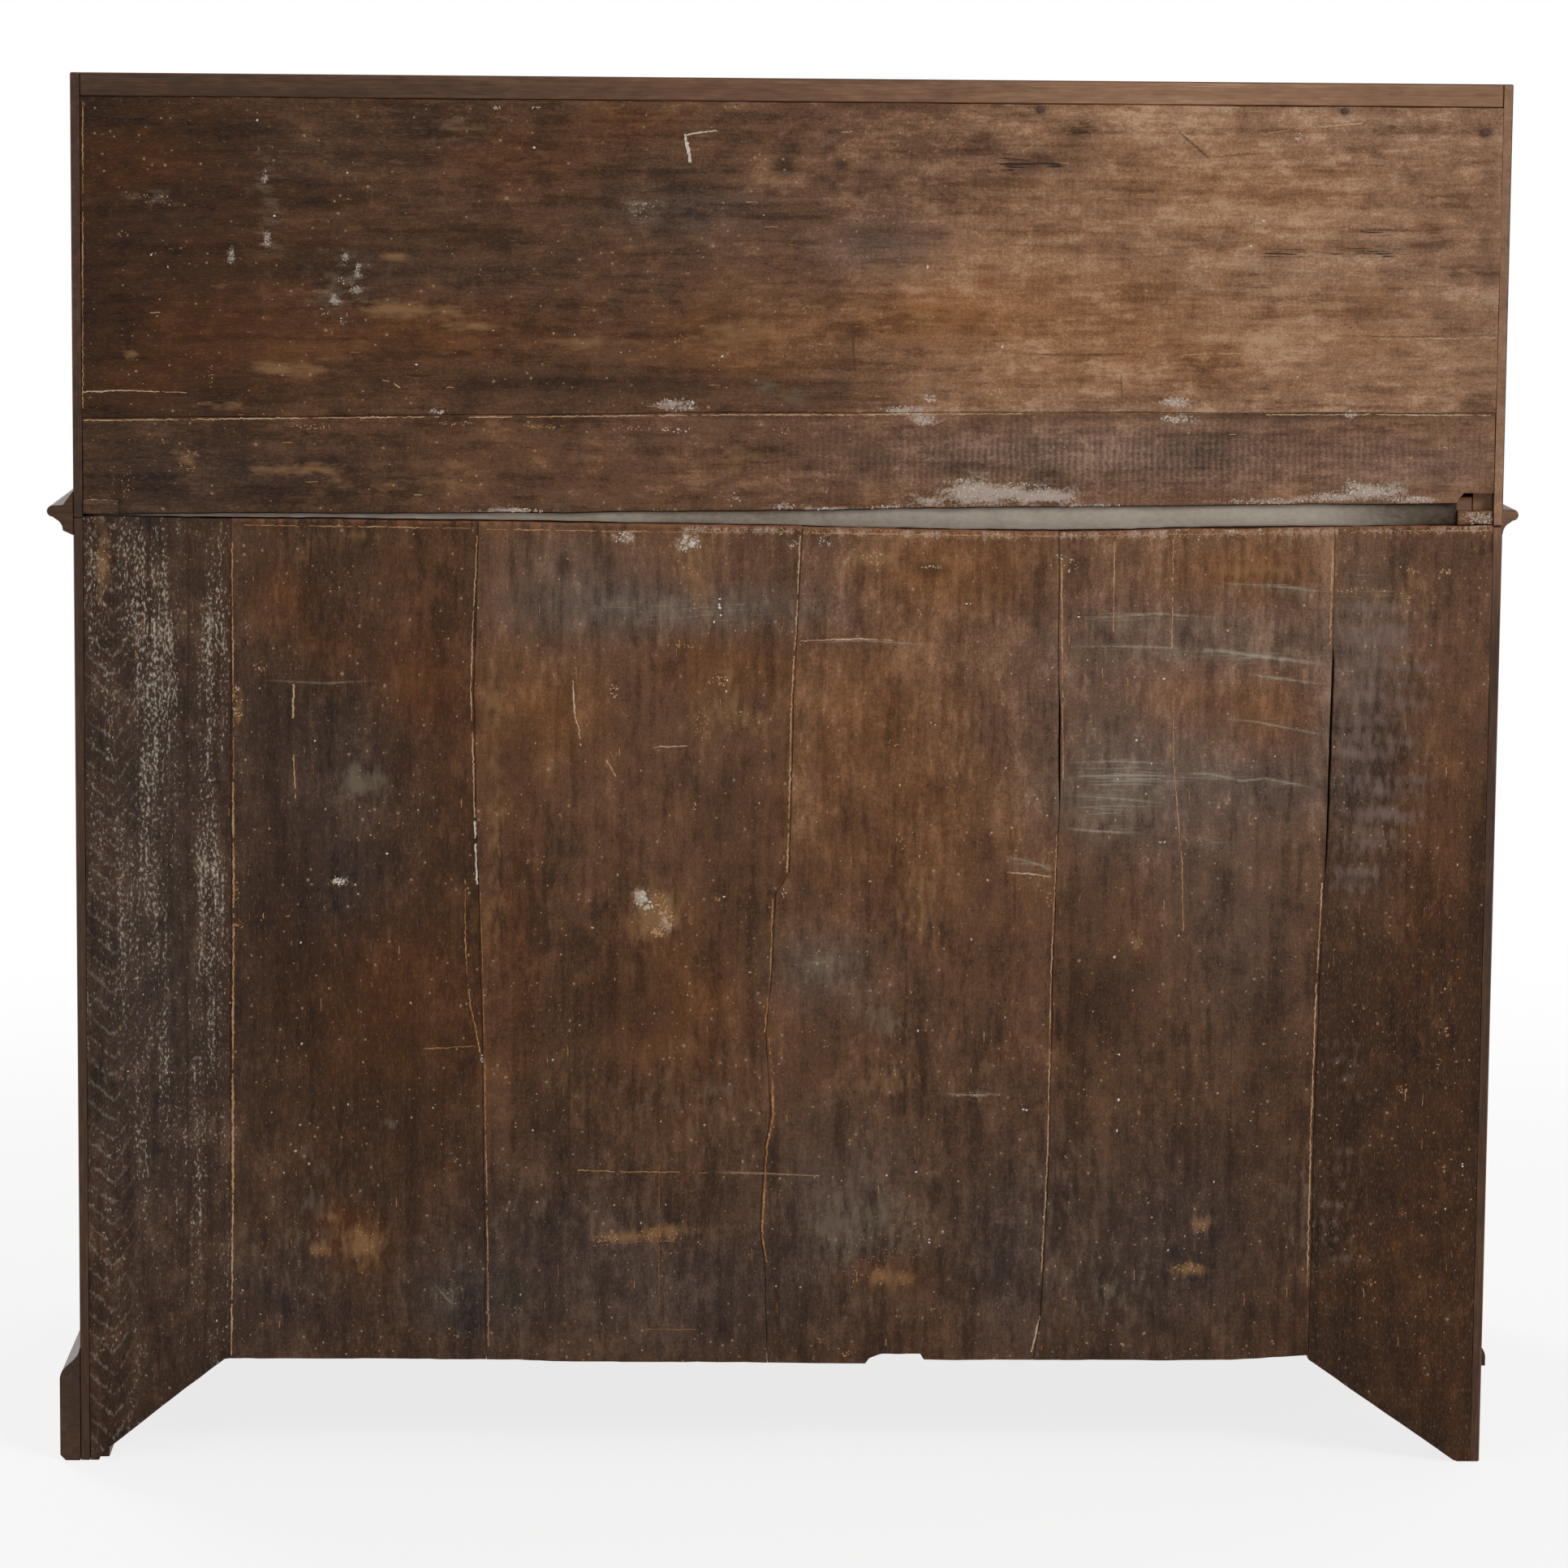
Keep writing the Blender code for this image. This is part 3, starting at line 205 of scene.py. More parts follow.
# %% [markdown]
# ## Floor and light
# The desk stands on a plain pale floor, in soft light from above and from the photograph's right.
# The floor shows white to the camera and still takes the desk's shadow: part of what the camera
# sees there is plain white, and part is the real, shaded floor. A bent paper backdrop is the usual
# way in a studio, but its bend would show when the desk is seen from the sides.

# %% Floor and backdrop
FLOOR_REACH = 30.0
FLOOR_BELOW = 0.0004
DESK_MIDDLE = Vector((0.0, 0.0, 0.55))
NEAR_WHITE = 0.80
NEAR_REACH = 1.0
FAR_REACH = 2.4


def seen_directly(tree):
    """One where the eye, a reflection or a view through glass meets the surface, and zero for light."""
    path = add(tree, "LightPath", {}).node.outputs
    seen = add(tree, "Math", {0: path["Is Camera Ray"], 1: path["Is Glossy Ray"]}, operation="MAXIMUM")
    return add(tree, "Math", {0: seen, 1: path["Is Transmission Ray"]}, operation="MAXIMUM")


def make_floor():
    """A wide floor a hair below the feet."""
    material, tree, shader = new_finish("pale studio floor")
    shader.inputs["Base Color"].default_value = linear("#efefee")
    shader.inputs["Roughness"].default_value = 0.9
    shader.inputs["Specular IOR Level"].default_value = 0.1
    glow = add(tree, "Emission", {"Color": linear("#ffffff"), "Strength": 1.0})
    spot = add(tree, "TexCoord", {}, out="Object")
    away = add(tree, "VectorMath", {0: spot}, out="Value", operation="LENGTH")
    white = add(
        tree, "MapRange",
        {"Value": away, "From Min": NEAR_REACH, "From Max": FAR_REACH, "To Min": NEAR_WHITE, "To Max": 1.0},
        interpolation_type="SMOOTHSTEP",
    )
    share = add(tree, "Math", {0: seen_directly(tree), 1: white}, operation="MULTIPLY")
    mixed = add(tree, "MixShader", {0: share, 1: shader.outputs[0], 2: glow})
    tree.links.new(mixed, tree.nodes["Material Output"].inputs["Surface"])
    mesh = bpy.data.meshes.new("floor")
    signs = [(-1, -1), (1, -1), (1, 1), (-1, 1)]
    corners = [(FLOOR_REACH * x, FLOOR_REACH * y, -FLOOR_BELOW) for x, y in signs]
    mesh.from_pydata(corners, [], [(0, 1, 2, 3)])
    floor = bpy.data.objects.new("floor", mesh)
    floor.data.materials.append(material)
    scene.collection.objects.link(floor)


def make_world(level):
    """A white surround for the eye, and an even light of the given level for the desk."""
    world = bpy.data.worlds.new("studio")
    world.use_nodes = True
    tree = world.node_tree
    strength = add(tree, "MapRange", {"Value": seen_directly(tree), "To Min": level, "To Max": 1.0})
    tree.links.new(strength, tree.nodes["Background"].inputs["Strength"])
    tree.nodes["Background"].inputs["Color"].default_value = linear("#ffffff")
    scene.world = world


def softbox(name, place, power, size):
    """A square lamp that looks at the middle of the desk."""
    lamp = bpy.data.lights.new(name, "AREA")
    lamp.energy = power
    lamp.size = size
    holder = bpy.data.objects.new(name, lamp)
    holder.location = place
    holder.rotation_euler = (DESK_MIDDLE - Vector(place)).to_track_quat("-Z", "Y").to_euler()
    scene.collection.objects.link(holder)


make_floor()
make_world(0.36)
softbox("key", (-2.3, 3.3, 2.7), 84.0, 1.5)
softbox("fill", (2.6, 3.2, 1.6), 20.0, 2.0)
softbox("front_key", (2.2, -3.2, 2.7), 76.0, 1.6)
softbox("front_fill", (-2.6, -3.0, 1.6), 30.0, 2.0)

# %% [markdown]
# ## Marks of use on the back
# A board's age is not spread evenly. The marks are listed where they lie, as pixels of the photograph,
# and painted onto the vertices of the boards as soft fields: how light the wood is, how red, how
# greyed, and where film, wear and stains gather. The shaders then turn each field into a worn
# surface. Images would do this too, but fields stay sharp at any size and need no unwrapping.

# %% Soft marks, as pixel rows: across, down, half width, half height, strength
RED_MARKS = [
    (150, 200, 80, 50, 0.5), (230, 320, 190, 170, 0.35), (640, 190, 90, 40, 0.5), (780, 150, 70, 24, 0.5),
    (1300, 350, 160, 60, 0.5), (1450, 430, 220, 60, 0.6), (1150, 390, 110, 36, 0.6),
    (1690, 385, 50, 40, 0.3), (1500, 230, 260, 60, 0.4), (240, 420, 150, 60, 0.4),
    (160, 480, 80, 30, 0.4), (560, 410, 160, 40, 0.5), (900, 420, 120, 50, 0.5), (540, 880, 70, 170, 0.5),
    (345, 740, 40, 50, 0.6), (415, 804, 40, 40, 0.5), (505, 840, 50, 50, 0.4), (480, 1230, 120, 120, 0.5),
    (1180, 700, 110, 60, 0.8), (1530, 705, 90, 30, 0.8), (900, 815, 90, 40, 0.5), (680, 880, 60, 50, 0.5),
    (1100, 1000, 140, 160, 0.4), (1750, 1000, 70, 420, 0.2), (1770, 1250, 60, 300, 0.2),
    (1450, 850, 60, 40, 0.7), (1560, 880, 50, 60, 0.7), (820, 1230, 120, 120, 0.4),
    (446, 1529, 40, 40, 1.0), (411, 1502, 24, 18, 0.8), (1090, 1570, 50, 20, 0.9),
    (1070, 860, 90, 90, 0.4), (1440, 1180, 80, 100, 0.3), (350, 1050, 40, 200, 0.1),
    (1700, 1600, 80, 160, 0.1), (640, 1120, 30, 200, 0.4),
]
GREY_MARKS = [
    (1770, 575, 90, 36, 0.3), (366, 190, 90, 40, 0.2), (200, 260, 60, 30, 0.3), (1080, 305, 90, 40, 0.4),
    (840, 260, 90, 36, 0.4), (500, 340, 140, 30, 0.2), (350, 575, 140, 30, 0.2),
    (1350, 560, 300, 40, 0.5), (700, 720, 90, 60, 0.5), (840, 750, 170, 30, 0.8),
    (1480, 800, 200, 60, 0.5), (1390, 960, 110, 90, 0.8), (1560, 960, 90, 60, 0.6),
    (700, 1560, 170, 120, 0.6), (1040, 1500, 110, 120, 0.7), (1010, 1190, 70, 50, 0.7),
    (430, 960, 110, 120, 0.6), (1420, 1540, 140, 140, 0.7), (1680, 880, 50, 200, 0.6),
    (560, 1600, 70, 60, 0.7), (1240, 1560, 60, 120, 0.6), (190, 1150, 120, 600, 0.75),
    (350, 1600, 80, 80, 0.5), (1500, 1150, 100, 120, 0.5), (420, 1100, 60, 60, 0.5),
    (860, 1600, 120, 70, 0.5),
]
DARK_MARKS = [
    (966, 205, 17, 14, 1.0), (978, 181, 9, 7, 0.8), (991, 155, 8, 6, 0.8), (1037, 203, 11, 9, 1.0),
    (1023, 183, 7, 5, 0.8), (1014, 220, 8, 5, 0.8), (1026, 229, 6, 6, 0.7), (1058, 238, 7, 6, 0.8),
    (1079, 195, 7, 6, 0.7), (951, 238, 8, 6, 0.7), (853, 226, 34, 8, 0.6), (1085, 306, 80, 26, 0.4),
    (450, 320, 160, 30, 0.35), (250, 330, 90, 24, 0.3), (1000, 480, 160, 18, 0.4),
    (120, 140, 50, 20, 0.5), (640, 470, 180, 24, 0.4), (820, 480, 90, 20, 0.4), (1240, 520, 80, 8, 0.4),
    # The band at (1560, 514) just under the waist seam is painted shadow below the edge of the upper board;
    # the others are stains.
    (1560, 514, 290, 5, 0.7), (110, 380, 20, 120, 0.3), (1690, 385, 36, 30, 0.35),
    (1690, 306, 90, 12, 0.5), (1290, 200, 50, 16, 0.5), (1330, 160, 30, 24, 0.5),
    (1330, 308, 46, 12, 0.4), (1270, 205, 30, 12, 0.4), (1480, 340, 140, 30, 0.2),
    (1835, 300, 16, 170, 0.4), (1700, 220, 40, 26, 0.25), (695, 698, 11, 20, 0.9),
    (1150, 702, 22, 10, 0.8), (240, 972, 16, 14, 0.4), (900, 1010, 50, 90, 0.4),
    (350, 1120, 60, 160, 0.4), (1340, 1200, 40, 260, 0.3), (1000, 1350, 40, 200, 0.3),
    (780, 1250, 90, 40, 0.35), (480, 1400, 130, 140, 0.35), (680, 1300, 60, 120, 0.25),
    (1390, 1220, 50, 60, 0.4), (1560, 1300, 50, 260, 0.3), (800, 645, 150, 10, 0.4),
    (640, 740, 40, 30, 0.3), (1282, 135, 9, 5, 1.2), (1657, 137, 10, 5, 1.0), (1829, 164, 10, 7, 1.0),
    (445, 395, 7, 6, 0.7), (1434, 1038, 16, 8, 0.5), (1820, 1200, 18, 500, 0.4), (310, 700, 26, 60, 0.5),
    (450, 690, 60, 30, 0.3), (330, 900, 30, 60, 0.4), (990, 1090, 16, 30, 0.5), (125, 730, 26, 60, 0.4),
    (1660, 1290, 30, 100, 0.3), (1210, 1100, 50, 120, 0.3), (640, 930, 30, 60, 0.5),
    (1480, 1080, 60, 50, 0.3), (1560, 560, 240, 30, 0.15),
]
# Grey film of dirt and painted sheen, where the light glances off the rough wood.
SHEEN_AND_FILM_MARKS = [
    (842, 752, 150, 24, 0.45), (560, 160, 60, 30, 0.2), (1236, 604, 80, 22, 0.5),
    (1692, 604, 60, 14, 0.5), (444, 965, 26, 18, 1.1), (1016, 1196, 46, 22, 0.4),
    (548, 1596, 18, 20, 0.5), (1040, 1516, 60, 40, 0.35), (1370, 985, 80, 44, 0.6),
    (1500, 1040, 34, 6, 0.5), (1268, 1066, 36, 10, 0.4), (1200, 1348, 40, 4, 0.5),
    (795, 262, 34, 14, 0.5), (420, 350, 40, 44, 0.4), (1450, 770, 130, 14, 0.45),
    (1560, 728, 80, 10, 0.45), (1480, 806, 150, 10, 0.45), (186, 242, 30, 9, 0.5),
    (936, 475, 24, 8, 0.45), (980, 488, 22, 9, 0.5), (1560, 330, 200, 60, 0.15),
    (1370, 240, 100, 60, 0.15), (1760, 440, 60, 40, 0.2), (1600, 1500, 30, 80, 0.25),
    (700, 1500, 120, 40, 0.2), (1085, 1253, 34, 24, 0.45), (484, 1385, 8, 6, 0.6),
    (1078, 1500, 60, 60, 0.3), (1300, 1500, 40, 120, 0.2), (1390, 1590, 60, 40, 0.25),
    (330, 255, 20, 70, 0.35), (1365, 1589, 8, 10, 0.5), (380, 1500, 90, 120, 0.2),
    (880, 1350, 120, 60, 0.2), (1200, 900, 80, 60, 0.15),
]
RESIDUE_MARKS = [
    (1150, 617, 36, 8, 0.8), (1190, 602, 28, 13, 1.0), (1250, 609, 60, 11, 1.1), (1300, 613, 22, 8, 1.0),
    (1016, 629, 22, 4, 1.0), (966, 624, 16, 4, 0.8), (1090, 627, 30, 4, 0.8), (1690, 605, 40, 9, 1.1),
    (1640, 613, 30, 5, 0.9), (1740, 616, 30, 5, 0.8), (1560, 618, 70, 3, 0.7), (632, 630, 44, 3.5, 1.0),
    (832, 499, 20, 7, 0.8), (1112, 506, 24, 6, 1.0), (1140, 518, 18, 7, 0.8), (1147, 491, 9, 4, 0.9),
    (1448, 496, 22, 7, 1.0), (1450, 516, 22, 5, 0.9), (538, 507, 9, 4, 0.9), (1664, 511, 8, 5, 0.8),
    (790, 1106, 9, 11, 1.2), (822, 1140, 7, 12, 0.6), (846, 668, 16, 10, 0.7), (768, 662, 18, 6, 0.6),
    (437, 356, 9, 7, 1.1), (441, 334, 4, 11, 1.0), (425, 319, 4, 9, 0.9), (413, 370, 8, 7, 1.0),
    (422, 396, 6, 4, 0.9), (329, 294, 5, 10, 1.0), (285, 313, 4, 17, 1.1), (327, 217, 4, 8, 0.9),
    (186, 242, 24, 5, 0.5), (793, 260, 26, 10, 0.35), (417, 1086, 11, 6, 1.0), (1350, 625, 44, 3, 0.7),
    (1825, 640, 24, 9, 0.7),
]
TAN_MARKS = [
    (488, 317, 16, 6, 1.0), (520, 384, 70, 6, 0.95), (480, 378, 30, 8, 0.8), (582, 402, 46, 5, 0.95),
    (357, 454, 56, 7, 0.95), (268, 500, 30, 4, 0.9), (725, 424, 46, 8, 0.65), (231, 566, 14, 18, 0.45),
    (366, 578, 58, 8, 0.85), (560, 574, 22, 6, 0.9), (470, 596, 120, 10, 0.3), (907, 564, 26, 16, 0.55),
    (900, 412, 42, 20, 0.65), (270, 351, 16, 4, 0.5), (380, 362, 24, 6, 0.4), (161, 436, 11, 6, 0.9),
    (294, 868, 7, 28, 0.8), (342, 731, 10, 22, 0.4), (612, 1010, 11, 180, 0.40), (606, 860, 10, 40, 0.5),
    (862, 740, 16, 40, 0.5), (900, 862, 16, 30, 0.6), (872, 890, 22, 22, 0.45), (920, 885, 30, 16, 0.45),
    (808, 1124, 26, 32, 1.30), (770, 1524, 46, 6, 0.9), (820, 1516, 34, 8, 0.9), (1077, 688, 26, 10, 0.9),
    (1196, 730, 60, 30, 0.3), (1530, 702, 60, 8, 0.7), (1083, 1572, 14, 10, 1.1), (1115, 1574, 14, 10, 0.9),
    (1478, 1508, 16, 10, 0.9), (1466, 1564, 22, 8, 1.1), (126, 700, 12, 44, 0.7), (1690, 730, 30, 6, 0.5),
    (446, 1531, 23, 25, 1.0), (394, 1541, 14, 9, 0.9), (409, 1500, 10, 6, 0.9), (1700, 658, 130, 4, 0.4),
    (1100, 660, 60, 8, 0.5), (768, 662, 22, 8, 0.7), (848, 668, 22, 14, 0.8), (440, 660, 60, 8, 0.3),
    (1080, 1330, 60, 20, 0.5), (1400, 1160, 16, 10, 0.6), (1759, 550, 14, 5, 0.7), (1770, 1240, 30, 60, 0.2),
    (1300, 690, 18, 24, 0.5), (1310, 770, 12, 20, 0.4), (1340, 700, 12, 30, 0.3), (1560, 650, 90, 5, 0.5),
    (1220, 660, 120, 5, 0.6), (1145, 392, 34, 9, 0.5), (1139, 429, 26, 7, 0.45), (994, 381, 30, 8, 0.4),
    (1100, 331, 50, 10, 0.45), (1232, 486, 18, 10, 0.7), (640, 190, 60, 24, 0.2), (1500, 400, 120, 14, 0.3),
    (1740, 740, 40, 40, 0.3), (700, 1340, 40, 60, 0.2), (1130, 1120, 40, 60, 0.35), (860, 700, 40, 30, 0.4),
]
LIME_MARKS = [
    (183, 780, 30, 150, 1.0), (262, 800, 14, 130, 0.8), (260, 1090, 16, 180, 0.8), (262, 1360, 14, 150, 0.6),
    (200, 1060, 30, 160, 0.55), (130, 690, 26, 50, 0.5), (140, 1150, 44, 110, 0.45), (190, 1350, 40, 90, 0.2),
]
RUB_MARKS = [
    (1575, 722, 70, 7, 0.9), (1570, 737, 70, 6, 0.5), (1400, 760, 90, 7, 0.9), (1450, 775, 150, 10, 0.4),
    (1400, 797, 90, 6, 0.9), (1550, 808, 90, 8, 1.0), (1580, 836, 50, 6, 0.9), (1550, 888, 70, 7, 0.7),
    (1380, 908, 70, 6, 0.7), (1380, 938, 75, 6, 0.9), (1385, 952, 80, 7, 1.0), (1390, 962, 80, 6, 1.0),
    (1370, 980, 75, 14, 0.8), (1370, 1000, 75, 10, 0.8), (1365, 1022, 60, 7, 1.0), (1500, 957, 40, 7, 0.9),
    (1590, 966, 45, 8, 0.9), (1480, 1036, 36, 8, 0.8), (1560, 1030, 60, 14, 0.3), (1268, 1066, 36, 8, 0.8),
    (1260, 1040, 40, 10, 0.5), (1070, 790, 90, 6, 0.5), (1200, 1348, 40, 4, 0.8), (1016, 1186, 46, 20, 0.6),
    (842, 752, 150, 26, 0.7), (385, 830, 80, 5, 0.5), (862, 164, 24, 5, 0.9), (634, 290, 30, 8, 0.6),
    (1680, 707, 36, 6, 0.8), (1690, 732, 50, 9, 0.7), (1560, 1180, 90, 60, 0.25), (1390, 1290, 80, 80, 0.2),
    (1230, 1240, 60, 60, 0.3), (870, 1330, 100, 60, 0.25), (360, 330, 60, 12, 0.3), (880, 1010, 60, 8, 0.4),
]
CRACK_MARKS = [
    (1333, 148, 24, 6, 1.0), (1333, 160, 26, 6, 1.0), (1335, 172, 22, 5, 1.0), (1280, 197, 26, 7, 0.9),
    (1240, 195, 20, 6, 1.0), (1245, 207, 20, 8, 1.0), (1300, 205, 14, 8, 0.8), (1322, 303, 30, 6, 0.9),
    (1320, 315, 30, 5, 0.8), (1690, 287, 44, 7, 1.0), (1770, 285, 24, 8, 0.7), (1580, 310, 40, 9, 0.9),
    (1690, 312, 60, 9, 1.0), (1720, 325, 30, 6, 0.6), (1545, 340, 16, 8, 0.7), (1560, 356, 20, 6, 0.6),
    (1300, 436, 70, 6, 0.9), (1460, 436, 40, 4, 0.4), (1500, 190, 50, 4, 0.6), (1680, 142, 30, 4, 0.7),
    (1420, 205, 40, 8, 0.3), (1260, 250, 40, 10, 0.4), (1400, 370, 60, 4, 0.4), (1350, 455, 40, 5, 0.4),
    (1240, 420, 20, 8, 0.6), (1835, 360, 14, 60, 0.4), (1690, 350, 80, 16, 0.4), (1840, 200, 20, 40, 0.5),
    (966, 205, 24, 16, 0.7), (1037, 203, 16, 10, 0.7), (853, 226, 34, 8, 0.7), (1085, 306, 80, 20, 0.5),
    (560, 330, 120, 16, 0.4), (640, 470, 180, 20, 0.4), (520, 462, 22, 4, 0.9), (1000, 480, 160, 14, 0.5),
    (300, 190, 160, 60, 0.2), (1500, 330, 330, 160, 0.15), (1560, 500, 260, 6, 0.4),
]
CHATTER_MARKS = [(1380, 566, 420, 44, 1.0), (1500, 330, 330, 160, 0.14), (1250, 250, 180, 120, 0.12)]
RUNG_PITCH = 23
LOW_RUNG_PITCH = 22
# Rungs of painted highlight: pale bands where the ridges of the saw chatter on the right stile catch the
# light, laid with the sheen and film marks.
STILE_RUNGS = [
    (
        1682 + 14 * math.sin(7.0 * n), 748 + RUNG_PITCH * n + 5 * math.sin(2.3 * n),
        40, 8.0, 0.66 + 0.2 * math.sin(4.1 * n),
    )
    for n in range(16)
]
STILE_RUNGS += [
    (
        1738 + 14 * math.sin(5.0 * n), 752 + RUNG_PITCH * n + 6 * math.sin(3.1 * n),
        26, 8.0, 0.44 + 0.2 * math.sin(2.9 * n),
    )
    for n in range(12)
]
STILE_RUNGS += [(1656, 1285 + LOW_RUNG_PITCH * n, 26, 6.5, 0.36) for n in range(4)]
STILE_RUNGS += [(1652, 1418 + LOW_RUNG_PITCH * n, 26, 6.5, 0.34) for n in range(7)]
SHEEN_AND_FILM_MARKS += STILE_RUNGS
BOARD_TOPS = [
    (90, 636), (280, 639), (500, 641), (650, 643), (800, 646), (977, 649), (1150, 653), (1300, 655),
    (1462, 652), (1640, 650), (1790, 648), (1870, 647),
]
TOP_PIXELS = {u: np.interp(u, *np.array(BOARD_TOPS).T) for u in range(860, 1840, 26)}
RESIDUE_MARKS += [(u, v + 5, 17, 4, 0.45 + 0.25 * math.sin(0.9 * u)) for u, v in TOP_PIXELS.items()]
SOFT_MARKS = {
    "red": RED_MARKS, "grey": GREY_MARKS, "dark": DARK_MARKS, "sheen_and_film": SHEEN_AND_FILM_MARKS,
    "residue": RESIDUE_MARKS, "tan": TAN_MARKS, "lime": LIME_MARKS, "rub": RUB_MARKS,
    "crack": CRACK_MARKS, "chatter": CHATTER_MARKS,
}
print("soft marks:", {kind: len(rows) for kind, rows in SOFT_MARKS.items()})

# %% [markdown]
# Cracks, checks and scuffs are thin, so a soft field would blur them. Each one is a line of a few
# points. A vertex stores how far it lies to one side of its nearest line, and as that distance grows
# evenly across a board, the shader can find the line between the vertices and draw it sharp.

# %% Seams between the boards, as pixels of the photograph from top to bottom
SEAM_STILE = [(284, 645), (285, 963), (283, 1674)]
SEAM_A = [(590, 645), (584, 845), (587, 1008), (590, 1090), (595, 1318), (599, 1680)]
SEAM_B = [
    (989, 645), (983, 772), (977, 868), (975, 964), (972, 1075), (955, 1101), (951, 1200), (944, 1271),
    (950, 1370), (942, 1413), (936, 1516), (943, 1564), (945, 1690),
]
SEAM_C = [(1305, 645), (1305, 1000), (1297, 1200), (1293, 1417), (1285, 1575), (1283, 1619), (1271, 1685)]
SEAM_C_GAP = [
    (1305, 645), (1305, 840), (1307, 880), (1307, 960), (1305, 1000), (1297, 1200), (1293, 1417),
    (1285, 1575), (1283, 1619), (1271, 1685),
]
SEAM_D = [
    (1644, 645), (1645, 700), (1642, 799), (1637, 944), (1632, 1075), (1626, 1200), (1618, 1398),
    (1612, 1690),
]
SEAM_D_GAP = [
    (1644, 645), (1645, 700), (1642, 795), (1644, 815), (1640, 944), (1634, 1060), (1631, 1085), (1626, 1200),
    (1618, 1398), (1612, 1690),
]
SEAM_WAIST = [(70, 515), (500, 512), (900, 508), (1400, 508), (1880, 509)]
print("points of the upright seams:", [len(seam) for seam in (SEAM_STILE, SEAM_A, SEAM_B, SEAM_C, SEAM_D)])

# %% Thin marks: half width in pixels, strength, and the points of the line
CHECK_LINES = [
    (1.3, 0.9, [(1450, 160), (1470, 178), (1494, 199)]), (0.8, 0.6, [(1494, 193), (1562, 189)]),
    (1.6, 0.8, [(1638, 288), (1690, 284), (1776, 284)]), (1.2, 0.7, [(1250, 436), (1310, 438), (1416, 436)]),
    (1.0, 0.6, [(1050, 398), (1051, 430), (1054, 469)]), (1.0, 0.6, [(1381, 458), (1383, 503)]),
    (0.9, 0.6, [(233, 660), (232, 800), (231, 960)]), (0.9, 0.5, [(231, 990), (230, 1200), (233, 1640)]),
    (1.0, 0.6, [(236, 963), (284, 965)]), (0.9, 0.5, [(236, 982), (282, 985)]),
    (0.9, 0.7, [(384, 657), (381, 714)]), (0.9, 0.5, [(650, 655), (648, 720)]),
    (0.9, 0.4, [(945, 1564), (946, 1670)]), (0.8, 0.5, [(1644, 414), (1750, 415), (1850, 413)]),
    (0.8, 0.35, [(1520, 1080), (1512, 1620)]), (0.8, 0.35, [(700, 1100), (702, 1600)]),
    (0.9, 0.6, [(1400, 512), (1640, 510), (1850, 512)]),
]
SCUFF_LINES = [
    (1.1, 0.7, [(1503, 719), (1570, 722), (1641, 730)]),
    (1.1, 0.8, [(1330, 764), (1369, 760), (1426, 756), (1507, 762)]),
    (1.1, 0.6, [(1311, 797), (1392, 796), (1468, 799)]),
    (1.7, 1.0, [(1460, 800), (1500, 801), (1530, 806), (1580, 812), (1638, 819)]),
    (1.1, 0.7, [(1533, 830), (1583, 837), (1633, 843)]),
    (1.0, 0.7, [(1500, 884), (1545, 889), (1634, 906)]),
    (1.1, 0.7, [(1440, 952), (1491, 954), (1530, 962), (1560, 959), (1629, 973)]),
    (1.0, 0.7, [(1306, 1020), (1350, 1024), (1407, 1026)]),
    (1.0, 0.7, [(1308, 958), (1376, 955), (1460, 956)]),
    (1.0, 0.6, [(1310, 940), (1370, 938), (1450, 941)]),
    (1.0, 0.6, [(1312, 980), (1380, 984), (1440, 990)]),
    (1.0, 0.6, [(1236, 1055), (1270, 1062), (1302, 1074)]),
    (1.0, 0.6, [(1162, 1347), (1200, 1350), (1238, 1348)]),
    (1.0, 0.5, [(533, 1580), (550, 1600), (566, 1612)]), (0.9, 0.5, [(874, 1443), (1016, 1449)]),
    (1.0, 0.5, [(990, 793), (1060, 789), (1150, 795)]), (1.0, 0.4, [(320, 838), (400, 842), (470, 838)]),
]
THIN_MARKS = {"check": CHECK_LINES, "scuff": SCUFF_LINES}
LINE_REACH = 13.0


def soft_field(across, down, rows):
    """The sum of soft round marks at each point of a board."""
    field = np.zeros_like(across)
    for middle_across, middle_down, wide, high, strength in rows:
        aside = ((across - middle_across) / wide) ** 2
        above = ((down - middle_down) / high) ** 2
        field += strength * np.exp(-aside - above)
    return field


def thin_field(across, down, lines):
    """For each point, its signed distance from the nearest line, in half widths, and the line's strength."""
    nearest = np.full_like(across, 1e6)
    second = np.full_like(across, 1e6)
    offset = np.full_like(across, 50.0)
    strength = np.zeros_like(across)
    for half, weight, points in lines:
        lengths = [math.dist(start, end) for start, end in zip(points, points[1:])]
        distance = np.full_like(across, 1e6)
        aside = np.zeros_like(across)
        share = np.zeros_like(across)
        for number, ((u0, v0), (u1, v1), length) in enumerate(zip(points, points[1:], lengths)):
            along = ((across - u0) * (u1 - u0) + (down - v0) * (v1 - v0)) / length
            beside = ((across - u0) * (v1 - v0) - (down - v0) * (u1 - u0)) / length
            here = np.hypot(beside, along - np.clip(along, 0.0, length))
            nearer = here < distance
            distance = np.where(nearer, here, distance)
            aside = np.where(nearer, beside, aside)
            share = np.where(nearer, (sum(lengths[:number]) + along) / sum(lengths), share)
        ends = np.clip(4.0 * share * (1.0 - share), 0.0, 1.0)
        fade = np.clip(1.6 - 1.6 * distance / LINE_REACH, 0.0, 1.0)
        closer = distance < nearest
        second = np.where(closer, nearest, np.minimum(second, distance))
        nearest = np.where(closer, distance, nearest)
        offset = np.where(closer, aside / half, offset)
        strength = np.where(closer, weight * ends * fade, strength)
    return offset, strength * np.clip((second - nearest) / 6.0, 0.0, 1.0)


print("thin marks:", {kind: len(lines) for kind, lines in THIN_MARKS.items()})

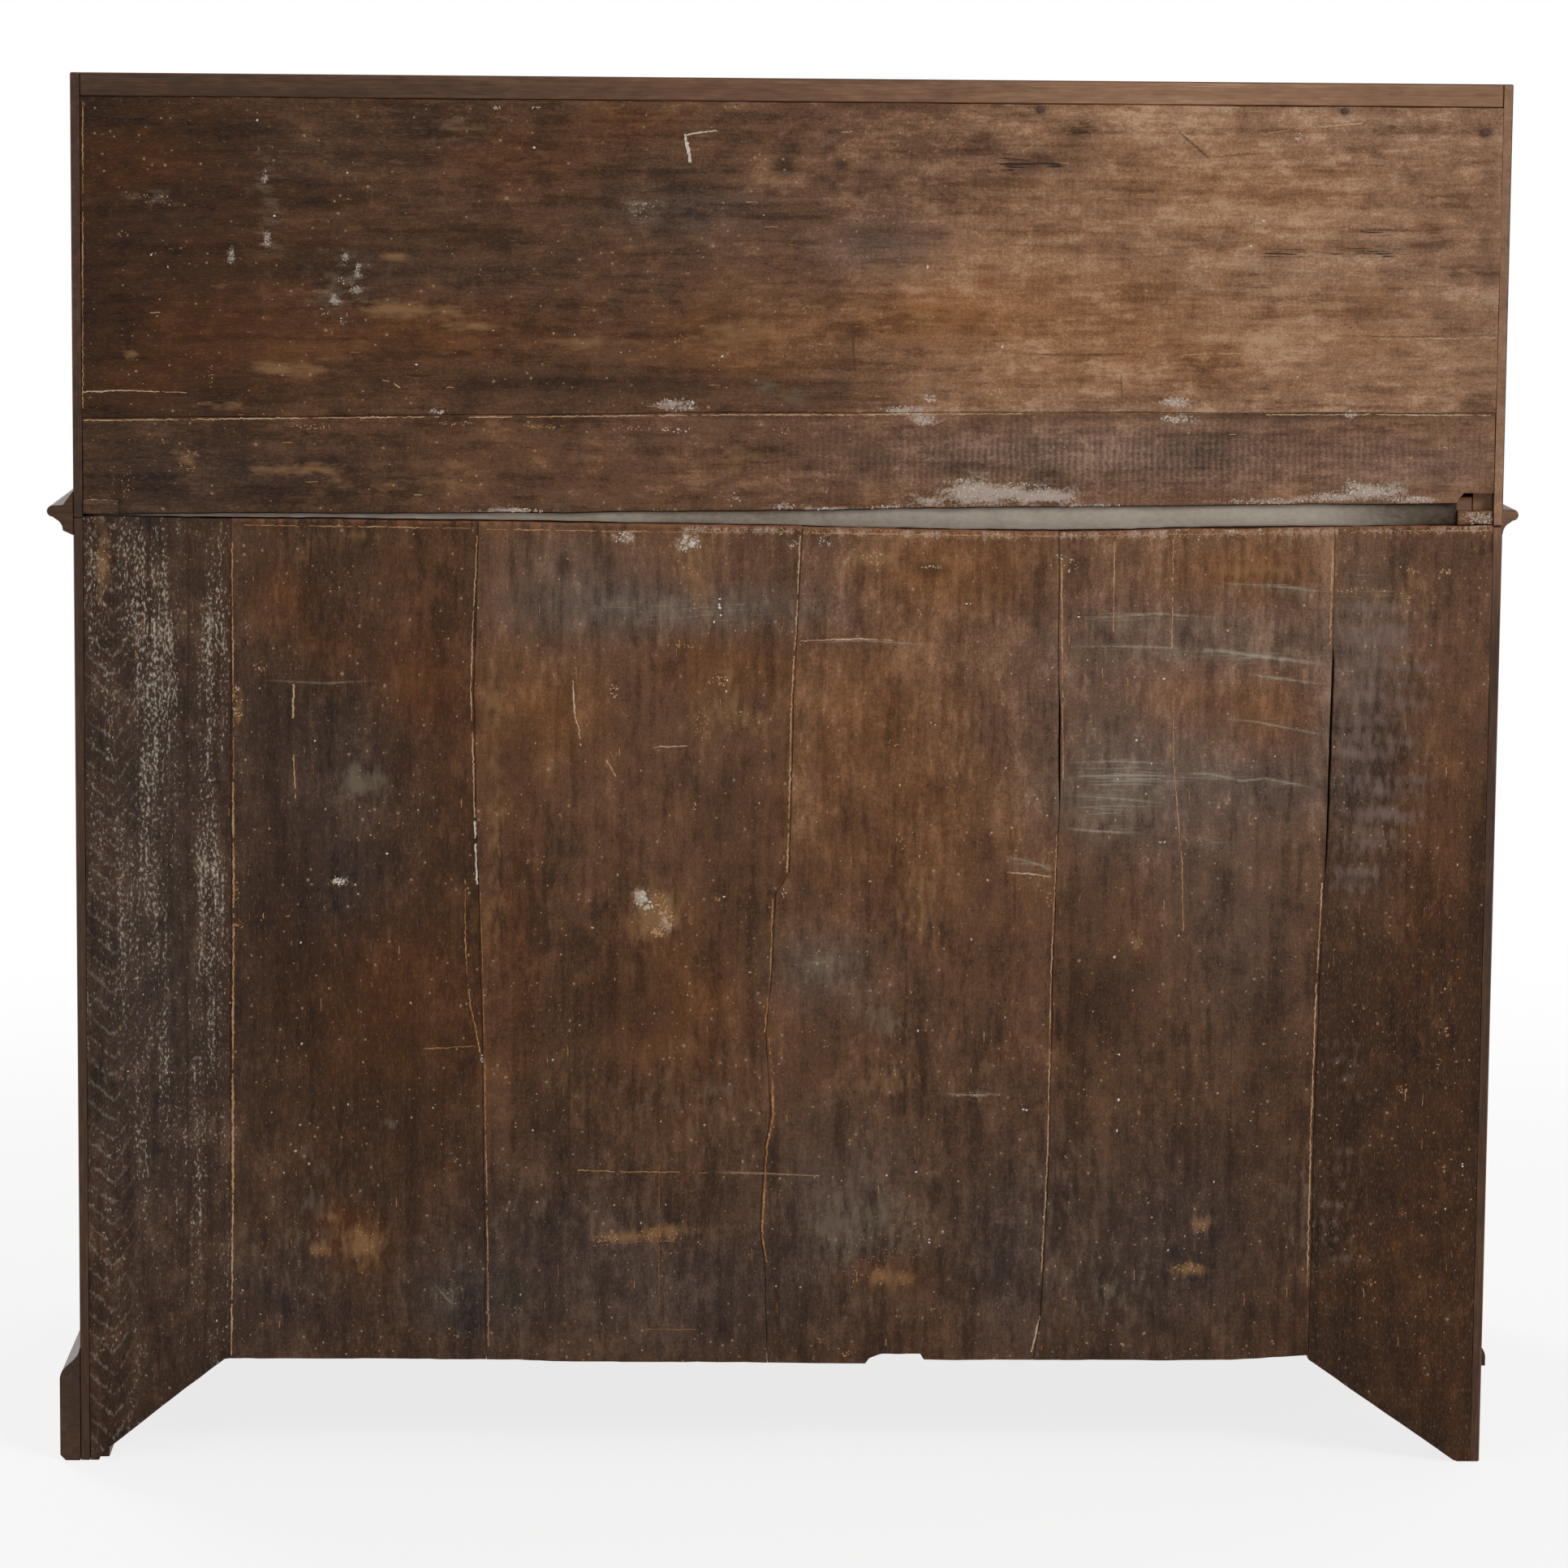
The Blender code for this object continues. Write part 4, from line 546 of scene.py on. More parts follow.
# %% [markdown]
# ## The boards of the back
# Eight boards close the back: a wide one and a narrow one across the desk part, and four between two
# stiles below. The solids of the frame are straight. Real ones have shrunk, so their seams
# wander, their edges are worn round, and their ends are ragged. Displacing the solids would waver
# their faces but not their outlines. So each board is made again as a fine grid between four worn
# edges, with walls and an inside face, and it stands for the solid.

# %% Edges that wander
KNOT_COUNT = 512
KNOT_START = 128.0
LEAST_HEIGHT = 0.0002


def wander(along, pitch, size, seed):
    """A smooth chance wave: up to size metres to either side, with a bend every pitch metres or so."""
    knots = np.random.default_rng(seed).uniform(-1.0, 1.0, KNOT_COUNT)
    place = np.asarray(along, float) / pitch + KNOT_START
    step = np.floor(place).astype(int)
    share = place - step
    share = share * share * (3.0 - 2.0 * share)
    return size * (knots[step % KNOT_COUNT] * (1.0 - share) + knots[(step + 1) % KNOT_COUNT] * share)


def rough(along, seed, size=0.0004):
    """A worn edge: a slow wave with a finer one on it."""
    return wander(along, 0.040, size, seed) + wander(along, 0.009, 0.45 * size, seed + 1)


def upright_edge(points, shift, seed):
    """A side edge through pixels of the photograph, moved by shift metres along X: x as a function of z."""
    places = sorted((on_back(u, v)[1], on_back(u, v)[0]) for u, v in points)
    heights, sides = np.array(places).T
    return lambda z: np.interp(z, heights, sides) + shift + rough(z, seed)


def level_edge(points, shift, seed):
    """An end edge through pixels of the photograph, moved by shift metres along Z: z as a function of x."""
    places = sorted(on_back(u, v) for u, v in points)
    sides, heights = np.array(places).T
    return lambda x: np.maximum(np.interp(x, sides, heights) + shift + rough(x, seed), LEAST_HEIGHT)


print("a worn edge wavers by", round(1000 * np.ptp(rough(np.linspace(0.0, 1.0, 400), 11)), 2), "mm")

# %% A board between four edges
EDGE_ROUND = 0.0004
EDGE_LINES = np.array([0.0, 0.0004, 0.0010, 0.0019])
FIRST_LINE = 0.0034
FRONT_STEP = 0.0030
LIP_HEIGHT = 0.0026
LIP_WEAR = ((200, 1000), (0.35, 1.0))  # pixels across, and how much of the worn lip shows there
INSIDE_TONE = 0.35
FIELD_NAMES = ["tone", *SOFT_MARKS, "figure", "figure_size", "lip"]
FIELD_NAMES += [name + part for name in THIN_MARKS for part in ("_offset", "_size")]


def graded(length, step):
    """Shares from 0 to 1 along a board: close together at both edges, a step apart between them."""
    middle = np.linspace(FIRST_LINE, length - FIRST_LINE, max(2, round(length / step)))
    return np.concatenate([EDGE_LINES, middle, length - EDGE_LINES[::-1]]) / length


def board_mesh(name, minus, plus, low, high, face, inside, relief, step=FRONT_STEP):
    """A board with its worn face at y = face: a grid between its side edges and its end edges."""
    box_x = (float(minus(0.4)), float(plus(0.4)))
    box_z = (float(low(sum(box_x) / 2)), float(high(sum(box_x) / 2)))
    across = graded(box_x[1] - box_x[0], step)
    along = graded(box_z[1] - box_z[0], step)[:, None]
    x = box_x[0] + (box_x[1] - box_x[0]) * across[None, :] + 0.0 * along
    z = low(x) + (high(x) - low(x)) * along
    x = minus(z) + (plus(z) - minus(z)) * across[None, :]
    from_edge = np.minimum.reduce([x - minus(z), plus(z) - x, z - low(x), high(x) - z])
    bite = np.clip(1.0 - from_edge / EDGE_ROUND, 0.0, 1.0)
    y = face + relief(x, z) - EDGE_ROUND * (1.0 - np.sqrt(1.0 - 0.98 * bite ** 2))
    rows, columns = x.shape
    grid = np.arange(rows * columns).reshape(rows, columns)
    rim = np.concatenate([grid[0, :-1], grid[:-1, -1], grid[-1, :0:-1], grid[:0:-1, 0]])
    front = np.stack([x.ravel(), y.ravel(), z.ravel()], -1)
    back = front[rim] * (1, 0, 1) + (0, inside, 0)
    quads = np.stack([grid[:-1, :-1], grid[1:, :-1], grid[1:, 1:], grid[:-1, 1:]], -1).reshape(-1, 4)
    count = len(front)
    ring = np.arange(len(rim))
    walls = np.stack([rim, np.roll(rim, -1), count + np.roll(ring, -1), count + ring], -1)
    mesh = bpy.data.meshes.new(name)
    faces = quads.tolist() + walls.tolist() + [(count + ring).tolist()]
    mesh.from_pydata(np.concatenate([front, back]).tolist(), [], faces)
    mesh.shade_smooth()
    mesh.set_sharp_from_angle(angle=math.radians(50))
    return mesh, front[:, 0], front[:, 2], (high(x) - z).ravel(), len(back)


def paint(mesh, x, z, below_top, hidden, tone, figure=None, lip=0.0):
    """Store the fields of every mark on the vertices; the last hidden ones are inside and stay plain."""
    across, down = photo_of(x, z)
    fields = {"tone": tone(across, down)}
    for kind, rows in SOFT_MARKS.items():
        fields[kind] = soft_field(across, down, rows)
    for kind, lines in THIN_MARKS.items():
        fields[kind + "_offset"], fields[kind + "_size"] = thin_field(across, down, lines)
    fields["figure"], fields["figure_size"] = figure(across, down) if figure else (0.0 * x, 0.0 * x)
    near_top = np.exp(-((below_top / LIP_HEIGHT) ** 2))
    fields["lip"] = lip * near_top * np.interp(across, *LIP_WEAR)
    for name in FIELD_NAMES:
        plain = np.full(hidden, INSIDE_TONE if name == "tone" else 0.0)
        values = np.concatenate([fields[name], plain]).astype(np.float32)
        mesh.attributes.new(name, "FLOAT", "POINT").data.foreach_set("value", values)


print("fields on each board:", len(FIELD_NAMES))

# %% [markdown]
# ## Old sawn wood
# The boards are unfinished oak and pine, sawn and left bare, then darkened by smoke, hands and dust.
# To the eye that gives a dull mottled brown with a fine broken grain, a grey film of dirt with painted sheen
# in it where the light glances off the rough wood, dark stains with a line of painted shadow under the waist
# seam, rubbed tan patches where the dirt has gone, and a scatter of tiny pale specks. A picture of wood would
# repeat and could not follow the marks, so one function layers stretched noises, each with the size of a real
# figure, and lets the painted fields decide where each layer shows.

# %% Material of the back boards
WOOD_TONES = [(0.0, "#140b05"), (0.25, "#3f2919"), (0.5, "#664833"), (0.75, "#8f6b52"), (1.0, "#b39378")]
FIBRE_MM = (1.2, 10.0)       # a fibre is nearer 0.2 mm wide, too fine to show, so it is drawn coarser
STREAK_MM = (7.0, 110.0)
BAND_MM = (22.0, 75.0)
MOTTLE_MM = (27.0, 32.0)
DRIFT_MM = (120.0, 190.0)
GRIT_MM = (1.6, 1.6)
SPECK_MM = 7.0               # how far apart the specks of limewash and bare wood lie
CROSS_MM = (26.0, 1.7)       # saw scratches: short along the grain, long across it
FLECK_MM = (1.7, 3.6)
WEAR_MM = (5.0, 14.0)
HAIR_MM = (1.3, 26.0)        # hairlines of scrapes and checks, all level
RAY_MM = (0.9, 4.0)
SAW_PITCH_MM = 4.6
BAND_SPAN_MM = 314.0         # a wave texture of scale 1 has a band about every 314 mm


def sawn_board_wood(name, along, grain=0.7, scrub=0.06, limewash=0.0, rays=0.16, sheen_and_film_colour="#766a59"):
    """Bare sawn boards with their grain along an axis; scrub is how much they were scraped across it."""
    material, tree, shader = new_finish(name)
    place = add(tree, "TexCoord", {}, out="Object")
    field = {kind: add(tree, "Attribute", {}, out="Fac", attribute_name=kind) for kind in FIELD_NAMES}
    fibre = grain_noise(tree, place, along, *FIBRE_MM, detail=3.0)
    streak = grain_noise(tree, place, along, *STREAK_MM, detail=3.0)
    mottle = grain_noise(tree, place, along, *MOTTLE_MM, detail=7.0, crust=0.72)
    band = grain_noise(tree, place, along, *BAND_MM, detail=5.0)
    drift = grain_noise(tree, place, along, *DRIFT_MM, detail=3.0)
    grit = grain_noise(tree, place, along, *GRIT_MM, detail=2.0)
    cross = grain_noise(tree, place, along, *CROSS_MM, detail=2.0)
    fleck = grain_noise(tree, place, along, *FLECK_MM, detail=2.0)
    wear = grain_noise(tree, place, along, *WEAR_MM, detail=4.0)
    hair = grain_noise(tree, place, 0, *HAIR_MM, detail=3.0)
    ray = grain_noise(tree, place, along, *RAY_MM, detail=1.0)
    shaken = weigh(tree, 0.0, [(wear, 0.005), (mottle, 0.007)])
    wobbly = add(tree, "VectorMath", {0: place, 1: shaken}, operation="ADD")
    saw = add(
        tree, "TexWave", {"Vector": wobbly, "Scale": BAND_SPAN_MM / SAW_PITCH_MM, "Distortion": 1.0},
        out="Fac", bands_direction="XYZ"[along],
    )
    saw_level = add(tree, "Math", {0: saw, 1: 0.5}, operation="SUBTRACT")
    saw_marks = add(tree, "Math", {0: saw_level, 1: field["chatter"]}, operation="MULTIPLY")
    figure = weigh(
        tree, 0.0,
        [(mottle, 0.50), (drift, 0.40), (grit, 0.36), (saw_marks, 0.12), (cross, scrub), (hair, 0.6 * scrub)],
    )
    figure = weigh(
        tree, figure, [(fibre, 0.20 * grain), (streak, 0.30 * grain), (band, 0.34 * grain), (wear, 0.22)]
    )

    # Where the dark skin has worn thin, and where dirt has set: patches with crisp, ragged edges.
    for patchy, start, end, change in [
        (weigh(tree, wear, [(mottle, 1.0)]), 0.08, 0.15, 0.050),
        (weigh(tree, streak, [(mottle, 0.9), (wear, 0.4)]), -0.07, -0.16, -0.045),
    ]:
        patch = add(tree, "MapRange", {"Value": patchy, "From Min": start, "From Max": end})
        figure = weigh(tree, figure, [(patch, change)])
    # The figure shows more where the board is pale than under its dark skin.
    showing = weigh(tree, 0.58, [(field["tone"], 1.10)])
    tone = add(tree, "Math", {0: figure, 1: showing, 2: field["tone"]}, operation="MULTIPLY_ADD")
    tone = weigh(tree, tone, [(field["red"], 0.04), (field["grey"], -0.05)])
    colour = add(tree, "ValToRGB", {"Fac": tone}, stops=WOOD_TONES)
    strength = weigh(tree, 1.0, [(field["red"], 0.20), (field["grey"], -0.42), (drift, 0.24), (mottle, 0.14)])
    colour = add(tree, "HueSaturation", {"Saturation": strength, "Color": colour})

    # Films and stains: each shows where its field, shaken by a noise, lies between two levels.
    crust = weigh(tree, wear, [(grit, 0.9), (mottle, 0.7)])
    films = [
        ("red", wear, 1.2, 0.0, 1.0, "#724225", 0.20), ("dark", wear, 1.4, 0.12, 0.90, "#150d08", 0.68),
        # The sheen_and_film layer is painted sheen as well as a film of dirt: a pale grey where the light
        # glances off the rough wood.
        ("sheen_and_film", wear, 2.4, 0.15, 1.00, sheen_and_film_colour, 0.62), ("tan", wear, 2.0, 0.18, 0.95, "#846342", 0.78),
        ("crack", hair, 3.0, 0.92, 1.20, "#1b130e", 0.85), ("rub", hair, 3.0, 0.80, 1.4, "#958d7d", 0.66),
        ("lip", wear, 2.6, 0.25, 0.85, "#87573a", 0.72), ("residue", crust, 2.2, 0.34, 1.05, "#ab9b90", 0.86),
    ]
    masks = {}
    for kind, noise, share, start, end, code, most in films:
        level = weigh(tree, field[kind], [(noise, share)])
        shown = add(tree, "MapRange", {"Value": level, "From Min": start, "From Max": end, "To Max": most})
        present = add(tree, "Math", {0: field[kind], 1: 4.0}, operation="MULTIPLY", use_clamp=True)
        masks[kind] = add(tree, "Math", {0: shown, 1: present}, operation="MULTIPLY")
        colour = add(tree, "MixRGB", {"Fac": masks[kind], "Color1": colour, "Color2": linear(code)})

    # Specks of limewash and bare wood, more of them where the skin is worn.
    speck = add(tree, "TexVoronoi", {"Vector": place, "Scale": 1000.0 / SPECK_MM}, out="Distance")
    speck = weigh(tree, speck, [(wear, -0.45), (mottle, -0.40), (grit, 0.25)])
    speck = add(tree, "MapRange", {"Value": speck, "From Min": 0.105, "From Max": 0.05, "To Max": 0.60})
    colour = add(tree, "MixRGB", {"Fac": speck, "Color1": colour, "Color2": linear("#a0886e")})

    # Pale rays of the wood, and limewash caught in its grain along streaks and thin nested arches.
    pale_ray = add(tree, "MapRange", {"Value": ray, "From Min": 0.06, "From Max": 0.26, "To Max": rays})
    colour = add(tree, "MixRGB", {"Fac": pale_ray, "Color1": colour, "Color2": linear("#94786a")})
    caught = weigh(tree, fleck, [(streak, 0.6), (mottle, 0.3), (field["lime"], 0.20)])
    caught = add(tree, "MapRange", {"Value": caught, "From Min": 0.15, "From Max": 0.33, "To Max": limewash})
    colour = add(tree, "MixRGB", {"Fac": caught, "Color1": colour, "Color2": linear("#b3aa99")})
    turn = add(tree, "Math", {0: field["figure"], 1: 2.0 * math.pi}, operation="MULTIPLY")
    arch = add(tree, "Math", {0: weigh(tree, turn, [(wear, 3.2), (mottle, 5.0)])}, operation="SINE")
    arch = weigh(tree, arch, [(fleck, 2.0), (wear, 1.0)])
    most = field["figure_size"]
    arch = add(tree, "MapRange", {"Value": arch, "From Min": 0.75, "From Max": 1.3, "To Max": most})
    colour = add(tree, "MixRGB", {"Fac": arch, "Color1": colour, "Color2": linear("#8f8878")})

    # Thin marks: full near their line and gone beside it, with a ragged edge, and broken up along it.
    for kind, start, end, code in [("check", 0.4, 1.6, "#120c08"), ("scuff", 0.2, 2.0, "#989080")]:
        ragged = weigh(tree, field[kind + "_offset"], [(wear, 1.6), (grit, 1.6)])
        beside = add(tree, "Math", {0: ragged}, operation="ABSOLUTE")
        near = add(tree, "MapRange", {"Value": beside, "From Min": end, "From Max": start})
        kept = weigh(tree, 0.75, [(fleck, 1.5), (mottle, 2.0), (wear, 1.5)])
        kept = add(tree, "Math", {0: kept, 1: near}, operation="MULTIPLY", use_clamp=True)
        size = field[kind + "_size"]
        masks[kind] = add(tree, "Math", {0: kept, 1: size}, operation="MULTIPLY", use_clamp=True)
        colour = add(tree, "MixRGB", {"Fac": masks[kind], "Color1": colour, "Color2": linear(code)})

    tree.links.new(colour, shader.inputs["Base Color"])
    roughness = weigh(tree, 0.66, [(mottle, 0.30), (grit, 0.25), (masks["sheen_and_film"], 0.2), (caught, 0.2)])
    tree.links.new(roughness, shader.inputs["Roughness"])
    shader.inputs["Specular IOR Level"].default_value = 0.12
    shader.inputs["IOR"].default_value = 1.5
    relief = [(fibre, 0.6), (grit, 0.5), (mottle, 0.5), (saw_marks, 0.3), (caught, 0.5), (masks["sheen_and_film"], 0.2)]
    relief += [(masks["check"], -1.2), (masks["crack"], -0.6), (masks["scuff"], 0.25), (masks["tan"], -0.3)]
    bump = add(tree, "Bump", {"Height": weigh(tree, 0.0, relief), "Strength": 0.55, "Distance": 0.0012})
    tree.links.new(bump, shader.inputs["Normal"])
    return material


CROSS_BOARDS = sawn_board_wood("bare sawn oak, grain across", 0, grain=0.90, scrub=0.05)
UPRIGHT_BOARDS = sawn_board_wood("bare sawn oak, grain upright", 2)
LIMED_STILE = sawn_board_wood("bare sawn oak, limewash in the grain", 2, limewash=0.80)
RAYED_STILE = sawn_board_wood("bare sawn oak, pale rays", 2, rays=0.28, sheen_and_film_colour="#79655e")
print("materials:", [m.name for m in (CROSS_BOARDS, UPRIGHT_BOARDS, LIMED_STILE, RAYED_STILE)])

# %% [markdown]
# Each board has its own outline, lie and base tone. The tones hold the dirt of the real boards and painted
# light as well: the desk part is pale towards the photograph's right, where the light comes from, and the
# lower boards darken towards the floor, away from it.


# %% Make the eight boards
back_boards = []


def make_board(
    name, node, minus, plus, low, high, material, tone,
    lift=0.0, figure=None, seed=0, step=FRONT_STEP, lip=0.0,
):
    """Build one board, paint its marks, and let it stand for its solid."""

    def relief(x, z):
        return lift + wander(x, 0.21, 0.00025, seed + 70) + wander(z, 0.17, 0.00025, seed + 80)

    mesh, x, z, below_top, hidden = board_mesh(name, minus, plus, low, high, BACK, INNER, relief, step)
    paint(mesh, x, z, below_top, hidden, tone, figure, lip)
    mesh.materials.append(material)
    board = bpy.data.objects.new(name, mesh)
    scene.collection.objects.link(board)
    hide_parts(node)
    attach(board, "carcase")
    back_boards.append(board)


def straight(value, seed=0, size=0.0002):
    """An edge at one place, with only a little wear."""
    return lambda t: value + rough(t, seed, size)


TONE_ROWS = (780, 1170, 1570)


def tone_and_light_down(top, middle, bottom):
    """How pale an upright board is at its top, half way and near the floor, with painted light in it as well
    as dirt.
    """
    return lambda across, down: np.interp(down, TONE_ROWS, (top, middle, bottom))


ARCH_AXIS = 143.0
ARCH_TIP = 5.0
ARCH_PITCH = 26.0
ARCHED_MIDDLE = 134.0
ARCHED_HALF = 26.0


def cathedral(across, down):
    """The nested arches of the grain in the left stile: their phase, and how strongly they show."""
    aside = across - ARCH_AXIS
    slope = np.where(aside < 0.0, 0.9, 1.8)
    phase = (down + slope * np.hypot(aside, ARCH_TIP)) / ARCH_PITCH
    return phase, 0.42 * np.clip(1.5 - np.abs(across - ARCHED_MIDDLE) / ARCHED_HALF, 0.0, 1.0)


SEAM_HALF = 0.00012
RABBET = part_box("upper_backboard")[1].x
TOP_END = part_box("upper_backboard")[1].z
# Painted light as well as dirt: the wide board and the waist board grow paler towards -X, the side the light
# comes from.
UPPER_TONES_AND_LIGHT = ((150, 330, 650, 1000, 1300, 1600, 1800), (0.13, 0.27, 0.33, 0.48, 0.70, 0.74, 0.71))
WAIST_TONES_AND_LIGHT = ((250, 800, 1400, 1750), (0.25, 0.45, 0.55, 0.57))
WAIST_UNDER = [
    (90, 633), (300, 632), (700, 631), (1000, 628), (1200, 625), (1500, 622), (1796, 620), (1801, 608),
    (1870, 607),
]
BOARD_ENDS = [
    (280, 1674), (590, 1675), (700, 1677), (985, 1679), (1076, 1680), (1081, 1673), (1095, 1668),
    (1147, 1668), (1151, 1675), (1180, 1676), (1520, 1676), (1620, 1669),
]
FOOT_PLUS = [(282, 1674), (125, 1790), (121, 1801), (60, 1801)]
FOOT_MINUS = [(1600, 1663), (1608, 1669), (1800, 1806), (1806, 1811), (1860, 1811)]

make_board(
    "upper_back_board", "upper_backboard", straight(-RABBET), straight(RABBET),
    level_edge(SEAM_WAIST, SEAM_HALF, 11), straight(TOP_END), CROSS_BOARDS,
    lambda across, down: np.interp(across, *UPPER_TONES_AND_LIGHT), seed=1, step=0.0026,
)
make_board(
    "waist_back_board", "waist_backboard", straight(-RABBET), straight(RABBET),
    level_edge(WAIST_UNDER, 0.0, 13), level_edge(SEAM_WAIST, -SEAM_HALF, 11), CROSS_BOARDS,
    lambda across, down: np.interp(across, *WAIST_TONES_AND_LIGHT), lift=-0.0006, seed=2, step=0.0026,
)
board_low = level_edge(BOARD_ENDS, 0.0, 17)
UPRIGHTS = [
    ("backboard_1", SEAM_A, SEAM_STILE, (0.29, 0.20, 0.29), -0.0003),
    ("backboard_2", SEAM_B, SEAM_A, (0.45, 0.34, 0.31), 0.0002),
    ("backboard_3", SEAM_C, SEAM_B, (0.56, 0.39, 0.33), -0.0004),
    ("backboard_4", SEAM_D, SEAM_C_GAP, (0.57, 0.38, 0.30), 0.0001),
]
for number, (node, minus_seam, plus_seam, tones, lift) in enumerate(UPRIGHTS):
    make_board(
        node.replace("backboard", "lower_back_board"), node,
        upright_edge(minus_seam, SEAM_HALF, 33 + 2 * number),
        upright_edge(plus_seam, -SEAM_HALF, 31 + 2 * number),
        board_low, level_edge(BOARD_TOPS, 0.0, 50 + number), UPRIGHT_BOARDS, tone_and_light_down(*tones), lift,
        seed=10 + number, lip=1.0,
    )
make_board(
    "back_stile_photo_left", "back_stile_right", upright_edge(SEAM_STILE, SEAM_HALF, 31), straight(RABBET),
    level_edge(FOOT_PLUS, 0.0, 62), level_edge(BOARD_TOPS, 0.0, 63), LIMED_STILE,
    tone_and_light_down(0.23, 0.25, 0.25), figure=cathedral, seed=21,
)
make_board(
    "back_stile_photo_right", "back_stile_left", straight(-RABBET), upright_edge(SEAM_D_GAP, -SEAM_HALF, 39),
    level_edge(FOOT_MINUS, 0.0, 65), level_edge(BOARD_TOPS, 0.0, 66), RAYED_STILE,
    tone_and_light_down(0.47, 0.22, 0.185), seed=22, lip=0.8,
)
print("back boards:", sum(len(board.data.vertices) for board in back_boards), "vertices")

# %% [markdown]
# ## The waist
# Where the desk part sits on the chest, the boards stop short of each other and leave a slot. Dust
# has caked on the edges of the boards inside it. At the photograph's left a thin strip closes the
# end of the moulding, and at its right a small block shows under a notch in the waist board. All
# three are made as the boards are, since what shows of each is a worn face between ragged edges.

# %% Dust, strip and block at the waist
DUST_MM = 3.0
DUST_DRIFT_MM = (30.0, 160.0)


def caked_dust(name):
    """Grey house dust, felted into a soft crust: no shine at all, and a fine crumbly surface."""
    material, tree, shader = new_finish(name)
    place = add(tree, "TexCoord", {}, out="Object")
    crumbs = grain_noise(tree, place, 0, DUST_MM, 1.6 * DUST_MM, detail=4.0)
    drift = grain_noise(tree, place, 0, *DUST_DRIFT_MM, detail=3.0)
    # The stored tone carries painted light and shade as well as the dust's own changes.
    dust_tone_and_shade = add(tree, "Attribute", {}, out="Fac", attribute_name="tone")
    tone = weigh(tree, dust_tone_and_shade, [(crumbs, 0.35), (drift, 0.8)])
    stops = [(0.0, "#2b231d"), (0.3, "#62564a"), (0.6, "#94897d"), (1.0, "#b5aca0")]
    tree.links.new(add(tree, "ValToRGB", {"Fac": tone}, stops=stops), shader.inputs["Base Color"])
    shader.inputs["Roughness"].default_value = 0.95
    shader.inputs["Specular IOR Level"].default_value = 0.05
    bump = add(tree, "Bump", {"Height": crumbs, "Strength": 0.5, "Distance": 0.001})
    tree.links.new(bump, shader.inputs["Normal"])
    return material


def small_piece(name, edges, face, inside, material, tone, relief, step):
    """A piece set into the back, riding on the case."""
    mesh, x, z, below_top, hidden = board_mesh(name, *edges, face, inside, relief, step)
    paint(mesh, x, z, below_top, hidden, tone)
    mesh.materials.append(material)
    piece = bpy.data.objects.new(name, mesh)
    scene.collection.objects.link(piece)
    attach(piece, "carcase")
    return piece


slot_floor = level_edge(BOARD_TOPS, 0.0009, 50)
waist_under = level_edge(WAIST_UNDER, -0.0009, 13)
# Along the slot the dust's tone is lifted where the narrow slot shades it, and drops to dark near the block
# where the slot closes: painted light and painted shade over the dust's own changes.
DUST_TONES_LIT_AND_SHADED = (
    (150, 480, 720, 940, 1060, 1300, 1640, 1720, 1800),
    (0.72, 0.92, 0.70, 0.58, 0.62, 0.64, 0.84, 0.48, 0.10),
)
BLOCK_PIXEL = (1797, 630)
STRIP_PIXEL = (146, 616)
STRIP_LOW_PIXEL = (146, 633)
STRIP_SHADE_ROW = 621
BLOCK_SIDE, BLOCK_TOP = on_back(*BLOCK_PIXEL)
STRIP_SIDE, STRIP_TOP = on_back(*STRIP_PIXEL)
STRIP_LOW = on_back(*STRIP_LOW_PIXEL)[1]
small_piece(
    "waist_dust", (straight(BLOCK_SIDE + 0.0004), straight(RABBET - 0.002), slot_floor, waist_under),
    INNER + 0.0050, INNER, caked_dust("caked house dust"),
    lambda across, down: np.interp(across, *DUST_TONES_LIT_AND_SHADED),
    lambda x, z: wander(x, 0.011, 0.0007, 91) + wander(z, 0.004, 0.0005, 92), 0.0022,
)
waist_block = small_piece(
    "waist_block", (straight(-RABBET), straight(BLOCK_SIDE - 0.0003), slot_floor, straight(BLOCK_TOP, 93)),
    BACK - 0.0020, INNER, CROSS_BOARDS, lambda across, down: 0.50 + 0.0 * across,
    lambda x, z: wander(x, 0.010, 0.0005, 94), 0.0016,
)
end_strip = small_piece(
    "moulding_end_strip",
    (straight(STRIP_SIDE, 95), straight(RABBET - 0.0005), straight(STRIP_LOW, 96), straight(STRIP_TOP, 97)),
    BACK + 0.0016, BACK + 0.0005, CROSS_BOARDS, lambda across, down: 0.42 - 0.14 * (down > STRIP_SHADE_ROW),
    lambda x, z: wander(x, 0.014, 0.0003, 98), 0.0016,
)
back_boards += [waist_block, end_strip]
print("at the waist:", [piece.name for piece in (waist_block, end_strip)], "and dust")

# %% [markdown]
# ## Crumbs, chips and splinters
# The sharpest marks on the back are bits of matter: crumbs of plaster and limewash from the walls it
# stood against, chips where the dark skin of the wood has broken off, and pale splinters along the
# seams. A shader would blur them, so they are modelled: each is a low, uneven flake of a few tenths
# of a millimetre, laid on the face of the board below it, and all of them share one mesh.

